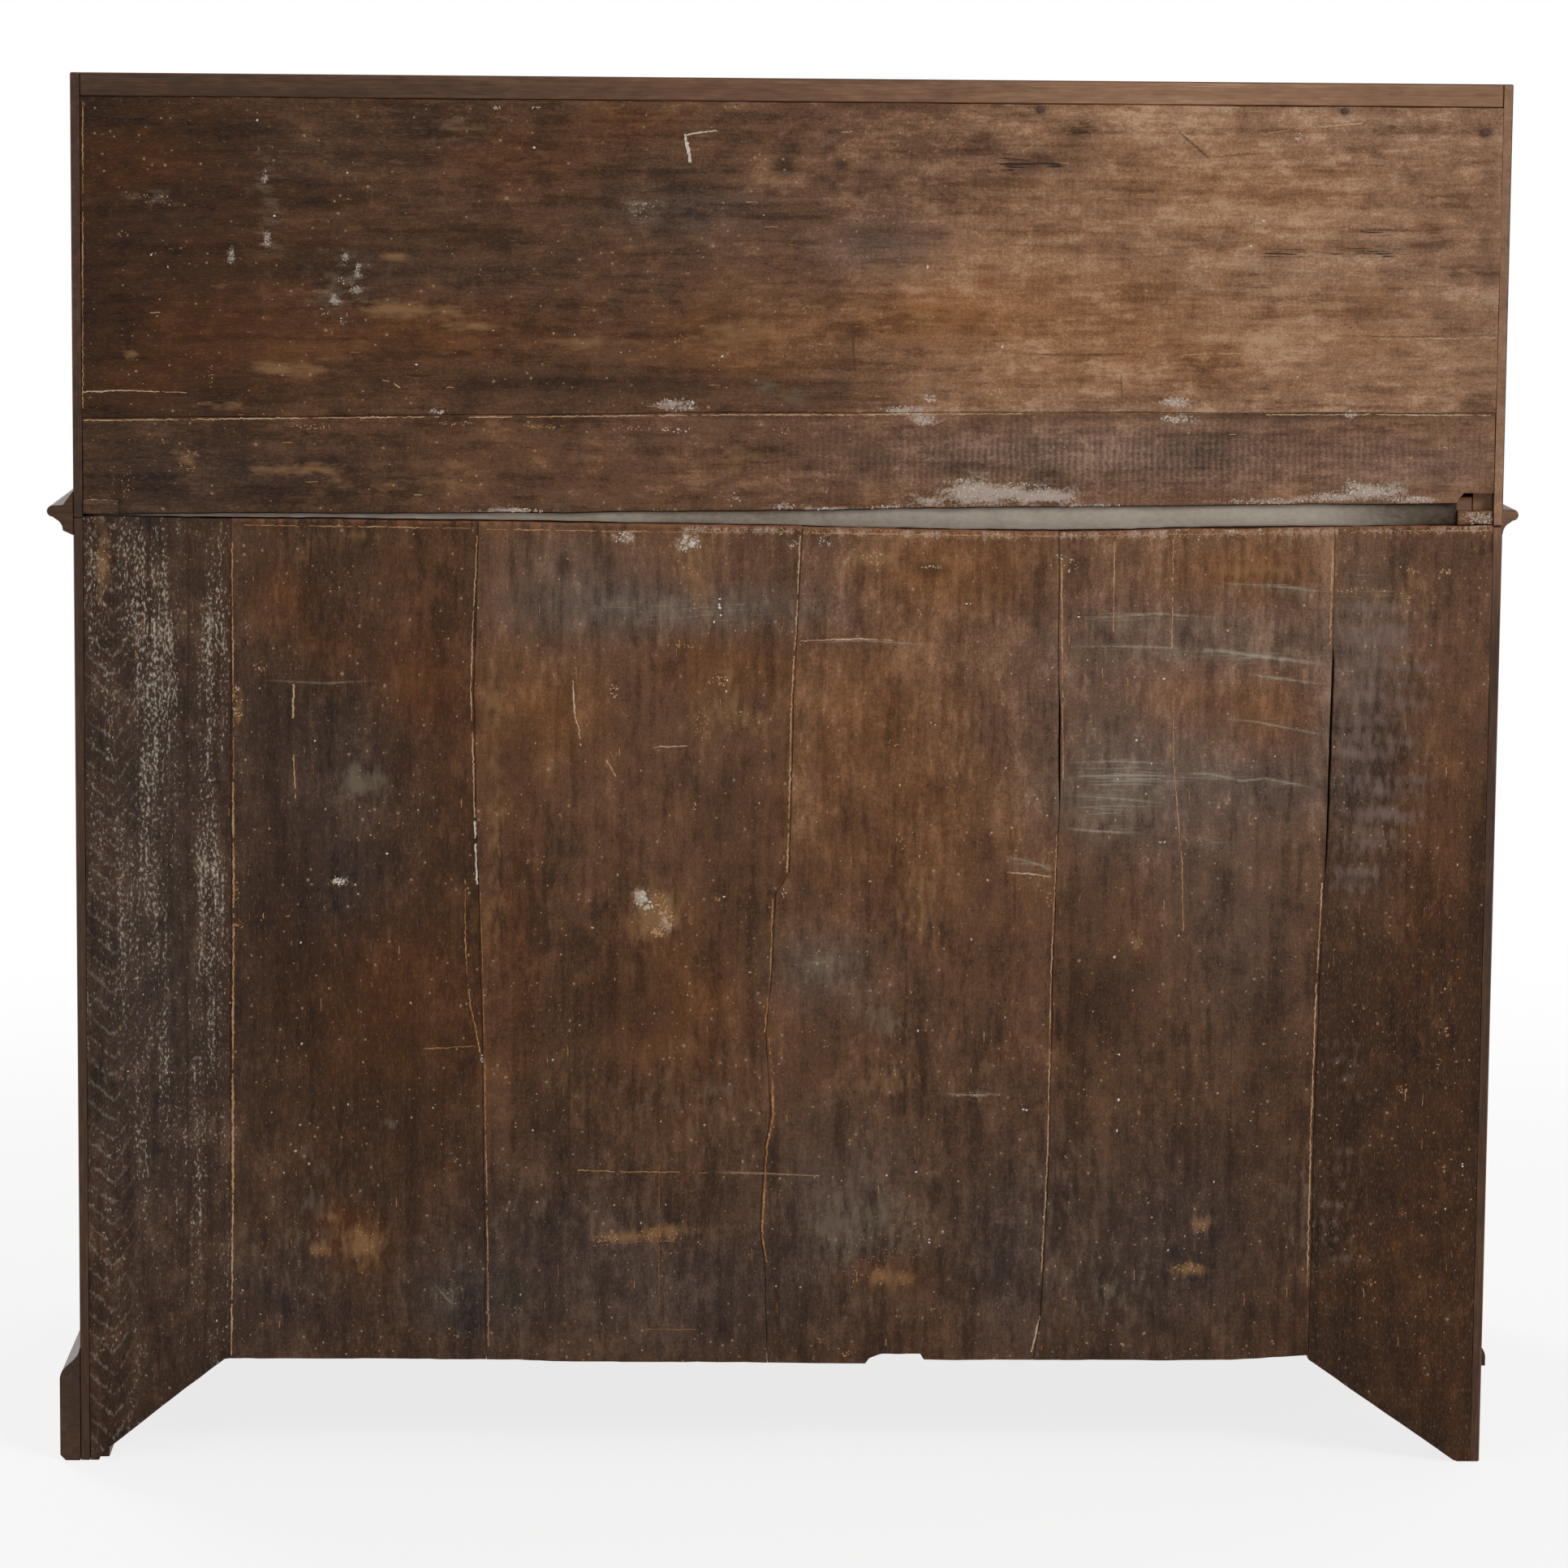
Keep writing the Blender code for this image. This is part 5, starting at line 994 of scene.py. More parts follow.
# %% Groups of crumbs, as pixels: across, down, half width, half height, then how many and how large
PLASTER_CRUMBS = [
    (327, 217, 3, 9, 5, 1.5), (329, 294, 5, 11, 7, 1.6), (285, 313, 3, 17, 8, 1.8),
    (425, 319, 3, 8, 5, 1.5), (442, 334, 3, 11, 6, 1.7), (438, 358, 8, 5, 8, 1.7),
    (420, 346, 5, 7, 6, 1.5), (413, 369, 7, 7, 7, 1.6), (397, 385, 8, 5, 5, 1.5),
    (422, 396, 6, 5, 5, 1.6), (186, 313, 2, 2, 3, 2.0), (538, 507, 9, 4, 16, 1.9),
    (648, 629, 24, 3, 30, 2.0), (613, 133, 5, 2, 8, 1.8), (660, 133, 5, 2, 8, 1.8),
    (793, 259, 16, 12, 18, 1.3), (853, 499, 4, 6, 12, 2.0), (813, 499, 4, 4, 8, 1.9),
    (832, 493, 16, 2, 12, 1.6), (834, 505, 15, 2, 12, 1.6), (834, 529, 18, 4, 16, 2.0),
    (1112, 505, 20, 5, 36, 1.9), (1140, 518, 16, 7, 26, 1.9), (1147, 491, 7, 5, 14, 1.8),
    (1190, 602, 26, 12, 90, 1.9), (1262, 606, 40, 12, 110, 1.8), (1017, 628, 16, 3, 24, 2.0),
    (968, 624, 12, 4, 18, 1.8), (1090, 626, 22, 4, 30, 2.0), (909, 613, 6, 8, 10, 1.7),
    (1448, 496, 20, 6, 44, 2.0), (1450, 516, 20, 5, 40, 2.0), (1664, 510, 7, 5, 14, 1.9),
    (1690, 604, 30, 8, 80, 1.9), (1640, 612, 26, 5, 50, 1.8), (1740, 616, 26, 5, 44, 1.8),
    (1560, 618, 50, 4, 50, 1.7), (1664, 594, 6, 5, 12, 1.8), (1350, 624, 40, 3, 44, 1.8),
    (1600, 168, 6, 5, 10, 1.8), (1268, 300, 4, 9, 10, 1.7), (850, 670, 15, 11, 26, 2.8),
    (768, 662, 16, 6, 22, 2.5), (790, 1106, 7, 10, 34, 2.8), (791, 1103, 5, 6, 7, 6.0),
    (799, 1116, 6, 8, 6, 5.0), (846, 667, 9, 6, 5, 5.0), (856, 992, 2, 6, 8, 1.5),
    (1149, 699, 13, 2, 18, 1.7), (976, 670, 6, 5, 12, 1.7), (1016, 668, 8, 7, 14, 1.7),
    (1516, 654, 8, 4, 16, 2.1), (1553, 656, 6, 4, 12, 2.0), (1433, 1038, 5, 2, 8, 1.9),
    (594, 1303, 2, 7, 12, 1.8), (967, 1100, 3, 6, 10, 1.8), (1310, 694, 18, 12, 22, 1.7),
    (417, 1086, 8, 4, 34, 2.6), (1825, 640, 22, 9, 60, 1.6), (1400, 652, 120, 3, 60, 1.6),
]
RAW_CHIPS = [
    (190, 245, 24, 6, 18, 1.6), (152, 288, 8, 5, 8, 1.5), (260, 465, 4, 16, 14, 1.5),
    (384, 526, 28, 3, 26, 1.7), (560, 522, 22, 3, 22, 1.7), (666, 526, 24, 3, 26, 1.7),
    (772, 528, 30, 3, 24, 1.7), (232, 566, 12, 17, 30, 1.5), (150, 592, 18, 22, 26, 1.4),
    (838, 418, 8, 6, 10, 1.8), (992, 380, 14, 6, 14, 1.4), (1002, 425, 11, 5, 14, 1.5),
    (1143, 392, 9, 4, 8, 1.6), (1222, 278, 11, 4, 9, 1.7), (1226, 404, 3, 6, 5, 1.6),
    (1228, 483, 13, 7, 18, 2.1), (1241, 497, 3, 8, 10, 1.7), (967, 528, 6, 8, 18, 1.4),
    (1134, 562, 16, 10, 18, 1.2), (820, 630, 36, 3, 24, 1.7), (1780, 551, 14, 3, 14, 1.6),
    (1740, 564, 7, 4, 10, 1.7), (1343, 559, 4, 6, 12, 1.7), (1308, 556, 8, 8, 12, 1.4),
    (1270, 175, 3, 14, 12, 1.5), (1735, 200, 9, 6, 10, 1.4), (859, 730, 20, 30, 60, 1.4),
    (849, 795, 18, 7, 18, 1.7), (886, 839, 15, 6, 24, 2.0), (757, 851, 5, 9, 22, 2.2),
    (864, 895, 10, 20, 46, 1.5), (914, 888, 30, 14, 40, 1.2), (812, 1108, 9, 9, 28, 2.2),
    (818, 1120, 6, 7, 7, 5.0), (822, 1140, 6, 8, 7, 5.0), (810, 1150, 8, 4, 6, 4.5),
    (822, 1130, 8, 15, 40, 2.2), (812, 1149, 12, 6, 34, 2.2), (808, 1125, 24, 30, 60, 1.3),
    (1077, 688, 20, 9, 44, 2.0), (1133, 754, 2, 7, 9, 1.7), (1100, 916, 9, 5, 10, 1.5),
    (1110, 1036, 6, 14, 14, 1.6), (1481, 1034, 10, 3, 10, 1.6), (1402, 1164, 8, 7, 14, 1.7),
    (1292, 1108, 4, 12, 12, 1.6), (1738, 704, 6, 4, 14, 2.0), (1781, 706, 8, 5, 18, 2.0),
    (1732, 737, 12, 7, 22, 1.7), (1669, 727, 24, 4, 26, 1.6), (1740, 1060, 30, 20, 20, 1.3),
    (1783, 1272, 4, 6, 10, 1.8), (1773, 1311, 4, 8, 9, 1.6), (1727, 1340, 7, 7, 14, 1.8),
    (305, 778, 4, 16, 12, 1.6), (322, 824, 9, 9, 18, 1.6), (293, 870, 6, 26, 40, 2.2),
    (556, 1596, 16, 20, 30, 1.3), (745, 1527, 16, 4, 28, 1.8), (814, 1521, 32, 8, 60, 1.5),
    (1200, 1349, 34, 3, 30, 1.5), (1092, 1528, 52, 34, 90, 1.3), (1464, 1562, 18, 6, 30, 1.9),
    (1477, 1512, 10, 7, 20, 1.7), (1450, 1348, 4, 12, 12, 1.4), (1363, 1589, 3, 8, 10, 1.6),
    (1311, 1601, 4, 5, 8, 1.5), (1011, 1649, 3, 7, 8, 1.5), (1100, 652, 100, 4, 50, 1.6),
    (115, 640, 14, 8, 16, 1.5),
]
OCHRE_CRUMBS = [
    (291, 1098, 5, 11, 16, 2.2), (293, 1140, 7, 8, 18, 2.2), (445, 1530, 17, 20, 50, 1.7),
    (394, 1541, 11, 7, 20, 1.7), (884, 1108, 5, 3, 10, 2.2), (942, 926, 3, 2, 5, 1.9),
    (1085, 1572, 5, 12, 24, 2.1), (1056, 1572, 7, 12, 18, 1.6), (1114, 1574, 10, 9, 22, 1.7),
    (1044, 1668, 7, 3, 10, 2.0), (1727, 1495, 7, 4, 12, 1.8), (1688, 1580, 8, 4, 14, 1.9),
    (128, 690, 11, 34, 70, 1.7), (355, 1129, 2, 2, 4, 1.7),
]
LIMEWASH_DOTS = [
    (317, 148), (658, 182), (428, 213), (338, 266), (513, 449), (890, 439), (1143, 329), (1235, 427),
    (892, 1105), (477, 1052), (388, 913), (868, 1386), (681, 1306), (1131, 1270), (1261, 1367),
    (1265, 1368), (1129, 1444), (1145, 1527), (1145, 1531), (1802, 1434), (1802, 1437), (1191, 744),
    (1196, 744), (1329, 760), (1379, 1299), (1378, 1355), (1376, 1393), (1557, 272), (1541, 303),
    (887, 738), (886, 745), (887, 749), (888, 758), (880, 766), (896, 838), (895, 852), (1373, 1179),
    (1400, 912), (1434, 836),
]
TAN_DOTS = [
    (761, 1078), (924, 1198), (730, 1143), (1278, 984), (1247, 1020), (1290, 1005), (1513, 777),
    (1485, 930), (1328, 969), (1412, 978), (1547, 1008), (1571, 932), (1512, 990), (1449, 1020),
    (401, 997), (332, 1021), (438, 1090), (506, 1236), (370, 1386), (364, 1418), (350, 1445), (328, 1500),
    (372, 1286), (381, 1434), (507, 1377), (1607, 746), (1626, 1034), (691, 1176), (845, 1191),
    (847, 1226), (714, 1263), (825, 1303), (662, 1481), (1072, 1086), (1133, 1055), (1222, 1026),
    (1557, 1286), (1611, 1298), (1500, 1347), (1419, 1500),
]
DOT_SIZE = 1.9
RAW_CHIPS += [(u, v + 6, 14, 5, 16, 1.5) for u, v in TOP_PIXELS.items()]
print("groups of crumbs:", [len(rows) for rows in (PLASTER_CRUMBS, RAW_CHIPS, OCHRE_CRUMBS)])

# %% Splinters and scrapes, as pixels: half width, tone from dark wood at 0 to white at 1, and points
SPLINTERS = [
    (3.4, 0.88, [(844, 165), (847, 180), (851, 202)]), (1.3, 0.78, [(846, 166), (862, 163), (884, 161)]),
    (1.0, 0.62, [(799, 921), (824, 920), (849, 919)]),
    (1.1, 0.70, [(706, 839), (708, 880), (713, 897), (716, 920)]), (0.9, 0.50, [(747, 936), (760, 959)]),
    (1.1, 0.55, [(362, 843), (361, 885)]), (1.0, 0.52, [(362, 930), (364, 984)]),
    (1.1, 0.60, [(471, 468), (484, 471), (494, 478)]),
    (0.8, 0.38, [(523, 1292), (560, 1291), (586, 1289)]),
    (0.8, 0.46, [(712, 1442), (780, 1444), (850, 1444)]),
    (0.6, 0.46, [(860, 1445), (940, 1446), (1010, 1449)]), (0.4, 0.30, [(812, 1435), (812, 1634)]),
    (0.7, 0.36, [(724, 1535), (790, 1530), (834, 1529)]),
    (1.0, 0.66, [(1241, 1075), (1270, 1077), (1297, 1081)]),
    (0.9, 0.55, [(1557, 166), (1590, 160), (1640, 155), (1680, 152)]),
    (0.5, 0.32, [(795, 1638), (861, 1638)]), (0.9, 0.62, [(98, 483), (150, 481), (231, 484)]),
    (0.7, 0.55, [(1460, 437), (1560, 435)]),
    (0.9, 0.56, [(100, 518), (300, 516), (500, 514), (640, 514), (900, 511), (1080, 512)]),
    (1.0, 0.56, [(900, 511), (1000, 511), (1260, 510)]),
    (0.8, 0.55, [(1446, 658), (1445, 720), (1444, 800)]),
    (0.7, 0.50, [(1446, 860), (1446, 940), (1456, 1060), (1458, 1150)]),
    (0.8, 0.50, [(1373, 668), (1372, 780)]),
    (0.9, 0.42, [(573, 1083), (573, 1121), (574, 1179), (579, 1237), (585, 1262), (592, 1300)]),
    (0.9, 0.54, [(588, 660), (583, 760), (580, 850), (583, 940), (585, 1010)]),
    (1.6, 0.86, [(585, 1012), (586, 1050), (588, 1092)]),
    (0.6, 0.40, [(592, 1100), (595, 1200), (597, 1300)]),
    (0.8, 0.46, [(597, 1305), (600, 1480), (602, 1668)]),
    (0.9, 0.42, [(286, 668), (287, 800), (288, 960)]),
    (1.4, 0.46, [(287, 963), (288, 1100), (287, 1300), (287, 1470)]),
    (1.3, 0.58, [(287, 1472), (285, 1672)]), (1.0, 0.58, [(986, 660), (981, 772)]),
    (1.1, 0.50, [(981, 772), (975, 868), (973, 964), (970, 1075)]),
    (1.0, 0.38, [(952, 1108), (949, 1200), (942, 1274)]),
    (1.5, 0.38, [(947, 1272), (952, 1340), (953, 1373), (945, 1413), (941, 1477), (939, 1522), (946, 1562)]),
    (1.4, 0.46, [(1641, 666), (1642, 690), (1640, 740), (1639, 795)]),
    (1.1, 0.55, [(1629, 1088), (1623, 1200)]), (1.0, 0.52, [(1622, 1210), (1615, 1398), (1610, 1600)]),
    (0.9, 0.52, [(1308, 690), (1309, 840)]), (0.9, 0.50, [(1309, 850), (1310, 960)]),
    (0.9, 0.52, [(1303, 1020), (1295, 1200), (1291, 1417), (1283, 1570)]),
    (1.1, 0.66, [(1281, 1622), (1276, 1645), (1270, 1668)]),
    (0.9, 0.60, [(1700, 418), (1790, 417), (1848, 416)]),
    (1.0, 0.62, [(986, 790), (1030, 788), (1060, 787), (1102, 789)]),
    (0.9, 0.62, [(96, 617), (120, 616), (146, 617)]),
    (0.9, 0.66, [(1560, 511), (1700, 511), (1840, 512)]),
    (0.7, 0.42, [(300, 647), (440, 649), (580, 651)]), (0.8, 0.46, [(600, 652), (800, 655), (980, 656)]),
    (0.9, 0.46, [(1000, 657), (1150, 659), (1300, 661)]),
    (0.7, 0.42, [(1320, 661), (1480, 658), (1636, 656)]), (0.7, 0.42, [(1660, 655), (1840, 653)]),
    (0.7, 0.44, [(102, 125), (102, 300), (102, 505)]),
]
print("splinters:", len(SPLINTERS))

# %% [markdown]
# A ray from behind finds the face of the board at each place, so that a flake sits on it however the
# board lies. A particle system could scatter them too, but it would not put them where they are seen.

# %% Lay the crumbs and splinters
CRUMB_CORNERS = 7
CRUMB_LIFT = 0.00014
CRUMB_DEPTH = 0.0004
RIDGE_SECTION = [(-1.0, -CRUMB_DEPTH), (-0.85, CRUMB_LIFT), (0.85, CRUMB_LIFT), (1.0, -CRUMB_DEPTH)]
SPLINTER_STEP = 3.0
STRAY_CRUMBS = 1300
STRAY_SPLINTERS = 320
STRAY_ACROSS = (110.0, 1850.0)  # where strays lie, as pixels: more of them lower down
STRAY_TOP = 130.0
STRAY_HEIGHT = 1540.0
SPLINTER_LOW = 1660.0
WAIST_ROW = 630.0               # stray splinters follow the grain: level above this row, upright below
bpy.context.view_layer.update()
chance = np.random.default_rng(77)
points, faces, tones = [], [], []


def face_at(x, z):
    """How far back the boards reach at a point, found by a ray from behind, or None beside them."""
    for board in back_boards:
        hit, place, _, _ = board.ray_cast((x, BACK + 0.02, z), (0.0, -1.0, 0.0), distance=0.03)
        if hit:
            return place.y
    return None


def lay_crumb(across, down, wide, high, tone):
    """A flat flake with uneven corners, as pixels of the photograph."""
    x, z = on_back(across, down)
    y = face_at(x, z)
    if y is None:
        return
    corners = np.arange(CRUMB_CORNERS) + chance.uniform(-0.3, 0.3, CRUMB_CORNERS)
    turns = 2.0 * math.pi * corners / CRUMB_CORNERS
    reach = chance.uniform(0.6, 1.15, CRUMB_CORNERS) * PIXEL
    start = len(points)
    for share, height in ((1.0, -CRUMB_DEPTH), (0.85, CRUMB_LIFT)):
        for turn, far in zip(turns, share * reach):
            points.append((x + wide * far * math.cos(turn), y + height, z + high * far * math.sin(turn)))
    upper = start + CRUMB_CORNERS
    ring = [(at, (at + 1) % CRUMB_CORNERS) for at in range(CRUMB_CORNERS)]
    faces.extend((start + a, upper + a, upper + b, start + b) for a, b in ring)
    faces.append(tuple(start + at for at in range(CRUMB_CORNERS)))
    faces.append(tuple(start + 2 * CRUMB_CORNERS - 1 - at for at in range(CRUMB_CORNERS)))
    tones.extend([tone] * (2 * CRUMB_CORNERS))


def lay_ridge(run, half, tone, aside):
    """A closed ridge with a flat top through points on the boards, each with how much of it is left."""
    if len(run) < 2:
        return
    start = len(points)
    for x, y, z, keep in run:
        width = half * min(1.2, max(0.4, 0.8 + 0.7 * keep))
        for side, height in RIDGE_SECTION:
            points.append((x + side * width * aside[0], y + height, z + side * width * aside[1]))
        tones.extend([tone + 0.14 * keep] * 4)
    for at in range(start, len(points) - 4, 4):
        faces.extend((at + a, at + b, at + b + 4, at + a + 4) for a, b in ((0, 1), (1, 2), (2, 3), (3, 0)))
    faces.append(tuple(start + at for at in (3, 2, 1, 0)))
    faces.append(tuple(len(points) - at for at in (4, 3, 2, 1)))


def lay_splinter(half, tone, line, seed):
    """A low ridge along a line of pixels, of uneven width and broken in places."""
    ends = np.cumsum([0.0] + [math.dist(start, end) for start, end in zip(line, line[1:])])
    places = np.arange(0.0, ends[-1], SPLINTER_STEP)
    across = np.interp(places, ends, [u for u, _ in line]) + chance.normal(0.0, 0.35, len(places))
    down = np.interp(places, ends, [v for _, v in line]) + chance.normal(0.0, 0.35, len(places))
    kept = wander(places, 26.0, 0.5, seed) + chance.normal(0.0, 0.25, len(places))
    aside = np.subtract(line[-1], line[0])[::-1] * (1, -1) / math.dist(line[0], line[-1])
    run = []
    for u, v, keep in [*zip(across, down, kept), (across[-1], down[-1], -1.0)]:
        x, z = on_back(u, v)
        y = face_at(x, z) if keep > -0.62 or half > 2.0 and keep > -1.0 else None
        if y is not None:
            run.append((x, y, z, keep))
            continue
        lay_ridge(run, half * PIXEL, tone, aside)
        run = []


for tone, rows in ((0.78, PLASTER_CRUMBS), (0.50, RAW_CHIPS), (0.38, OCHRE_CRUMBS)):
    for across, down, wide, high, count, size in rows:
        turn = chance.uniform(0.0, 2.0 * math.pi, count)
        far = np.sqrt(chance.uniform(0.0, 1.0, count))
        for u, v in zip(across + wide * far * np.cos(turn), down + high * far * np.sin(turn)):
            wide_by, high_by = size * chance.uniform(0.25, 0.95, 2)
            lay_crumb(u, v, wide_by, high_by, tone + chance.normal(0.0, 0.09))
for tone, places in ((0.95, LIMEWASH_DOTS), (0.62, TAN_DOTS)):
    for across, down in places:
        wide_by, high_by = DOT_SIZE * chance.uniform(0.7, 1.3, 2)
        lay_crumb(across, down, wide_by, high_by, tone + chance.normal(0.0, 0.05))
for _ in range(STRAY_CRUMBS):
    across = chance.uniform(*STRAY_ACROSS)
    down = STRAY_TOP + STRAY_HEIGHT * math.sqrt(chance.uniform(0.0, 1.0))
    size = 0.55 + 1.1 * chance.uniform(0.0, 1.0) ** 3
    lay_crumb(across, down, size, size * chance.uniform(0.7, 1.4), chance.uniform(0.36, 0.86))
for number in range(STRAY_SPLINTERS):
    across = chance.uniform(*STRAY_ACROSS)
    down = chance.uniform(STRAY_TOP, SPLINTER_LOW)
    reach = chance.uniform(4.0, 16.0)
    end = (across + reach, down) if down < WAIST_ROW else (across, down + reach)
    lay_splinter(chance.uniform(0.35, 0.6), chance.uniform(0.22, 0.52), [(across, down), end], 600 + number)
for number, (half, tone, line) in enumerate(SPLINTERS):
    lay_splinter(half, tone, line, 300 + number)
print("laid on the boards:", len(points), "points,", len(faces), "faces")


# %% [markdown]
# Plaster, limewash and torn wood are all dry and chalky, and differ by colour alone. One material
# therefore serves for all of them, and takes its colour from the tone stored with each flake.


# %% Material and object of the crumbs
CHALK_MM = 1.3


def dry_crumbs(name):
    """Crumbs of limewash, plaster and broken wood: chalky, without shine, from raw wood to near white."""
    material, tree, shader = new_finish(name)
    place = add(tree, "TexCoord", {}, out="Object")
    dust = grain_noise(tree, place, 0, CHALK_MM, CHALK_MM, detail=3.0)
    tone = weigh(tree, add(tree, "Attribute", {}, out="Fac", attribute_name="tone"), [(dust, 0.6)])
    stops = [
        (0.1, "#4a2d1a"), (0.35, "#946439"), (0.5, "#ab8159"),
        (0.7, "#b29d85"), (0.85, "#bfb4a7"), (1.0, "#d3cfc8"),
    ]
    tree.links.new(add(tree, "ValToRGB", {"Fac": tone}, stops=stops), shader.inputs["Base Color"])
    shader.inputs["Roughness"].default_value = 0.9
    shader.inputs["Specular IOR Level"].default_value = 0.05
    bump = add(tree, "Bump", {"Height": dust, "Strength": 0.4, "Distance": 0.0004})
    tree.links.new(bump, shader.inputs["Normal"])
    return material


crumb_mesh = bpy.data.meshes.new("crumbs_and_splinters")
crumb_mesh.from_pydata(points, [], faces)
crumb_mesh.attributes.new("tone", "FLOAT", "POINT").data.foreach_set("value", np.array(tones, np.float32))
crumb_mesh.materials.append(dry_crumbs("crumbs of limewash and raw wood"))
crumbs = bpy.data.objects.new("crumbs_and_splinters", crumb_mesh)
scene.collection.objects.link(crumbs)
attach(crumbs, "carcase")
print("crumbs and splinters spread over", np.ptp(np.array(points), axis=0).round(3), "m")

# %% [markdown]
# ## Nails
# A few hand-forged nails hold the wide board to the case. Each head was drawn to four or more blunt
# facets by the hammer. A smooth dome would look turned, so it is built ring by ring as a low cone
# with uneven corners.


# %% Forged nail heads
RUST_MM = 1.4


def forged_iron(name):
    """Hand-forged iron: near black scale, brown with rust in the hollows."""
    material, tree, shader = new_finish(name)
    place = add(tree, "TexCoord", {}, out="Object")
    rust = grain_noise(tree, place, 0, RUST_MM, RUST_MM, detail=4.0)
    stops = [(0.2, "#1c1614"), (0.8, "#54331f")]
    colour = add(tree, "ValToRGB", {"Fac": weigh(tree, 0.5, [(rust, 1.2)])}, stops=stops)
    tree.links.new(colour, shader.inputs["Base Color"])
    shader.inputs["Metallic"].default_value = 0.35
    tree.links.new(weigh(tree, 0.6, [(rust, 0.4)]), shader.inputs["Roughness"])
    bump = add(tree, "Bump", {"Height": rust, "Strength": 0.4, "Distance": 0.0005})
    tree.links.new(bump, shader.inputs["Normal"])
    return material


NAIL_PLACES = [(1282, 135), (1657, 137), (1829, 164)]
NAIL_RADIUS = 0.0026
NAIL_HEIGHT = 0.0006
NAIL_SEAT = 0.0004
NAIL_CORNERS = 9
NAIL_RINGS = [(1.0, 0.0), (0.92, 0.45), (0.45, 0.85)]  # shares of the radius and of the height
iron = forged_iron("forged iron")
for number, pixel in enumerate(NAIL_PLACES):
    chance = np.random.default_rng(200 + number)
    made = bmesh.new()
    x, z = on_back(*pixel)
    rings = []
    for share, height in NAIL_RINGS:
        even = np.arange(NAIL_CORNERS) * 2.0 * math.pi / NAIL_CORNERS
        turns = even + chance.uniform(-0.15, 0.15, NAIL_CORNERS)
        reach = NAIL_RADIUS * share * chance.uniform(0.86, 1.12, NAIL_CORNERS)
        y = BACK + NAIL_SEAT + NAIL_HEIGHT * height
        rings.append([
            made.verts.new((x + far * math.cos(turn), y, z + far * math.sin(turn)))
            for far, turn in zip(reach, turns)
        ])
    for lower, upper in zip(rings, rings[1:]):
        for at in range(NAIL_CORNERS):
            made.faces.new((lower[at], upper[at], upper[at - 1], lower[at - 1]))
    tip = made.verts.new((x, BACK + NAIL_SEAT + NAIL_HEIGHT, z))
    for at in range(NAIL_CORNERS):
        made.faces.new((rings[-1][at], tip, rings[-1][at - 1]))
    made.faces.new(rings[0])
    bmesh.ops.recalc_face_normals(made, faces=made.faces)
    mesh = bpy.data.meshes.new(f"nail_head_{number + 1}")
    made.to_mesh(mesh)
    made.free()
    mesh.materials.append(iron)
    nail = bpy.data.objects.new(mesh.name, mesh)
    scene.collection.objects.link(nail)
    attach(nail, "carcase")
print("nails:", len(NAIL_PLACES))

# %% [markdown]
# ## Show wood, linings and brass
# The outside of the desk is oak, fumed dark and waxed many times: a deep brown with open pores and
# pale rays, smooth and a little shiny, rubbed lighter along its edges. The drawers and the
# nest of pigeonholes are the same oak left dry. The handles and hinges are cast brass, gone
# dull in the hollows and bright where hands touch it. One function makes every oak, for a grain along
# any axis, since a board is cut along its grain: the longest side of a solid tells which one to take.

# %% Materials of the frame's solids
PORE_MM = (1.1, 26.0)         # pores are about 0.3 mm wide, too fine to show, so they are drawn coarser
RING_MM = (13.0, 420.0)
CLOUD_MM = (120.0, 200.0)
SILVER_MM = (4.0, 16.0)
EDGE_MM = 2.2
# Painted highlight as well as wear: the raw rear faces grow paler towards -X and towards the top, the side
# the light comes from.
RAW_LIGHT_FROM = 0.42         # the rear edges pale across the desk, from this x to that one
RAW_LIGHT_TO = -0.30
RAW_LOW, RAW_HIGH = 0.60, 0.70


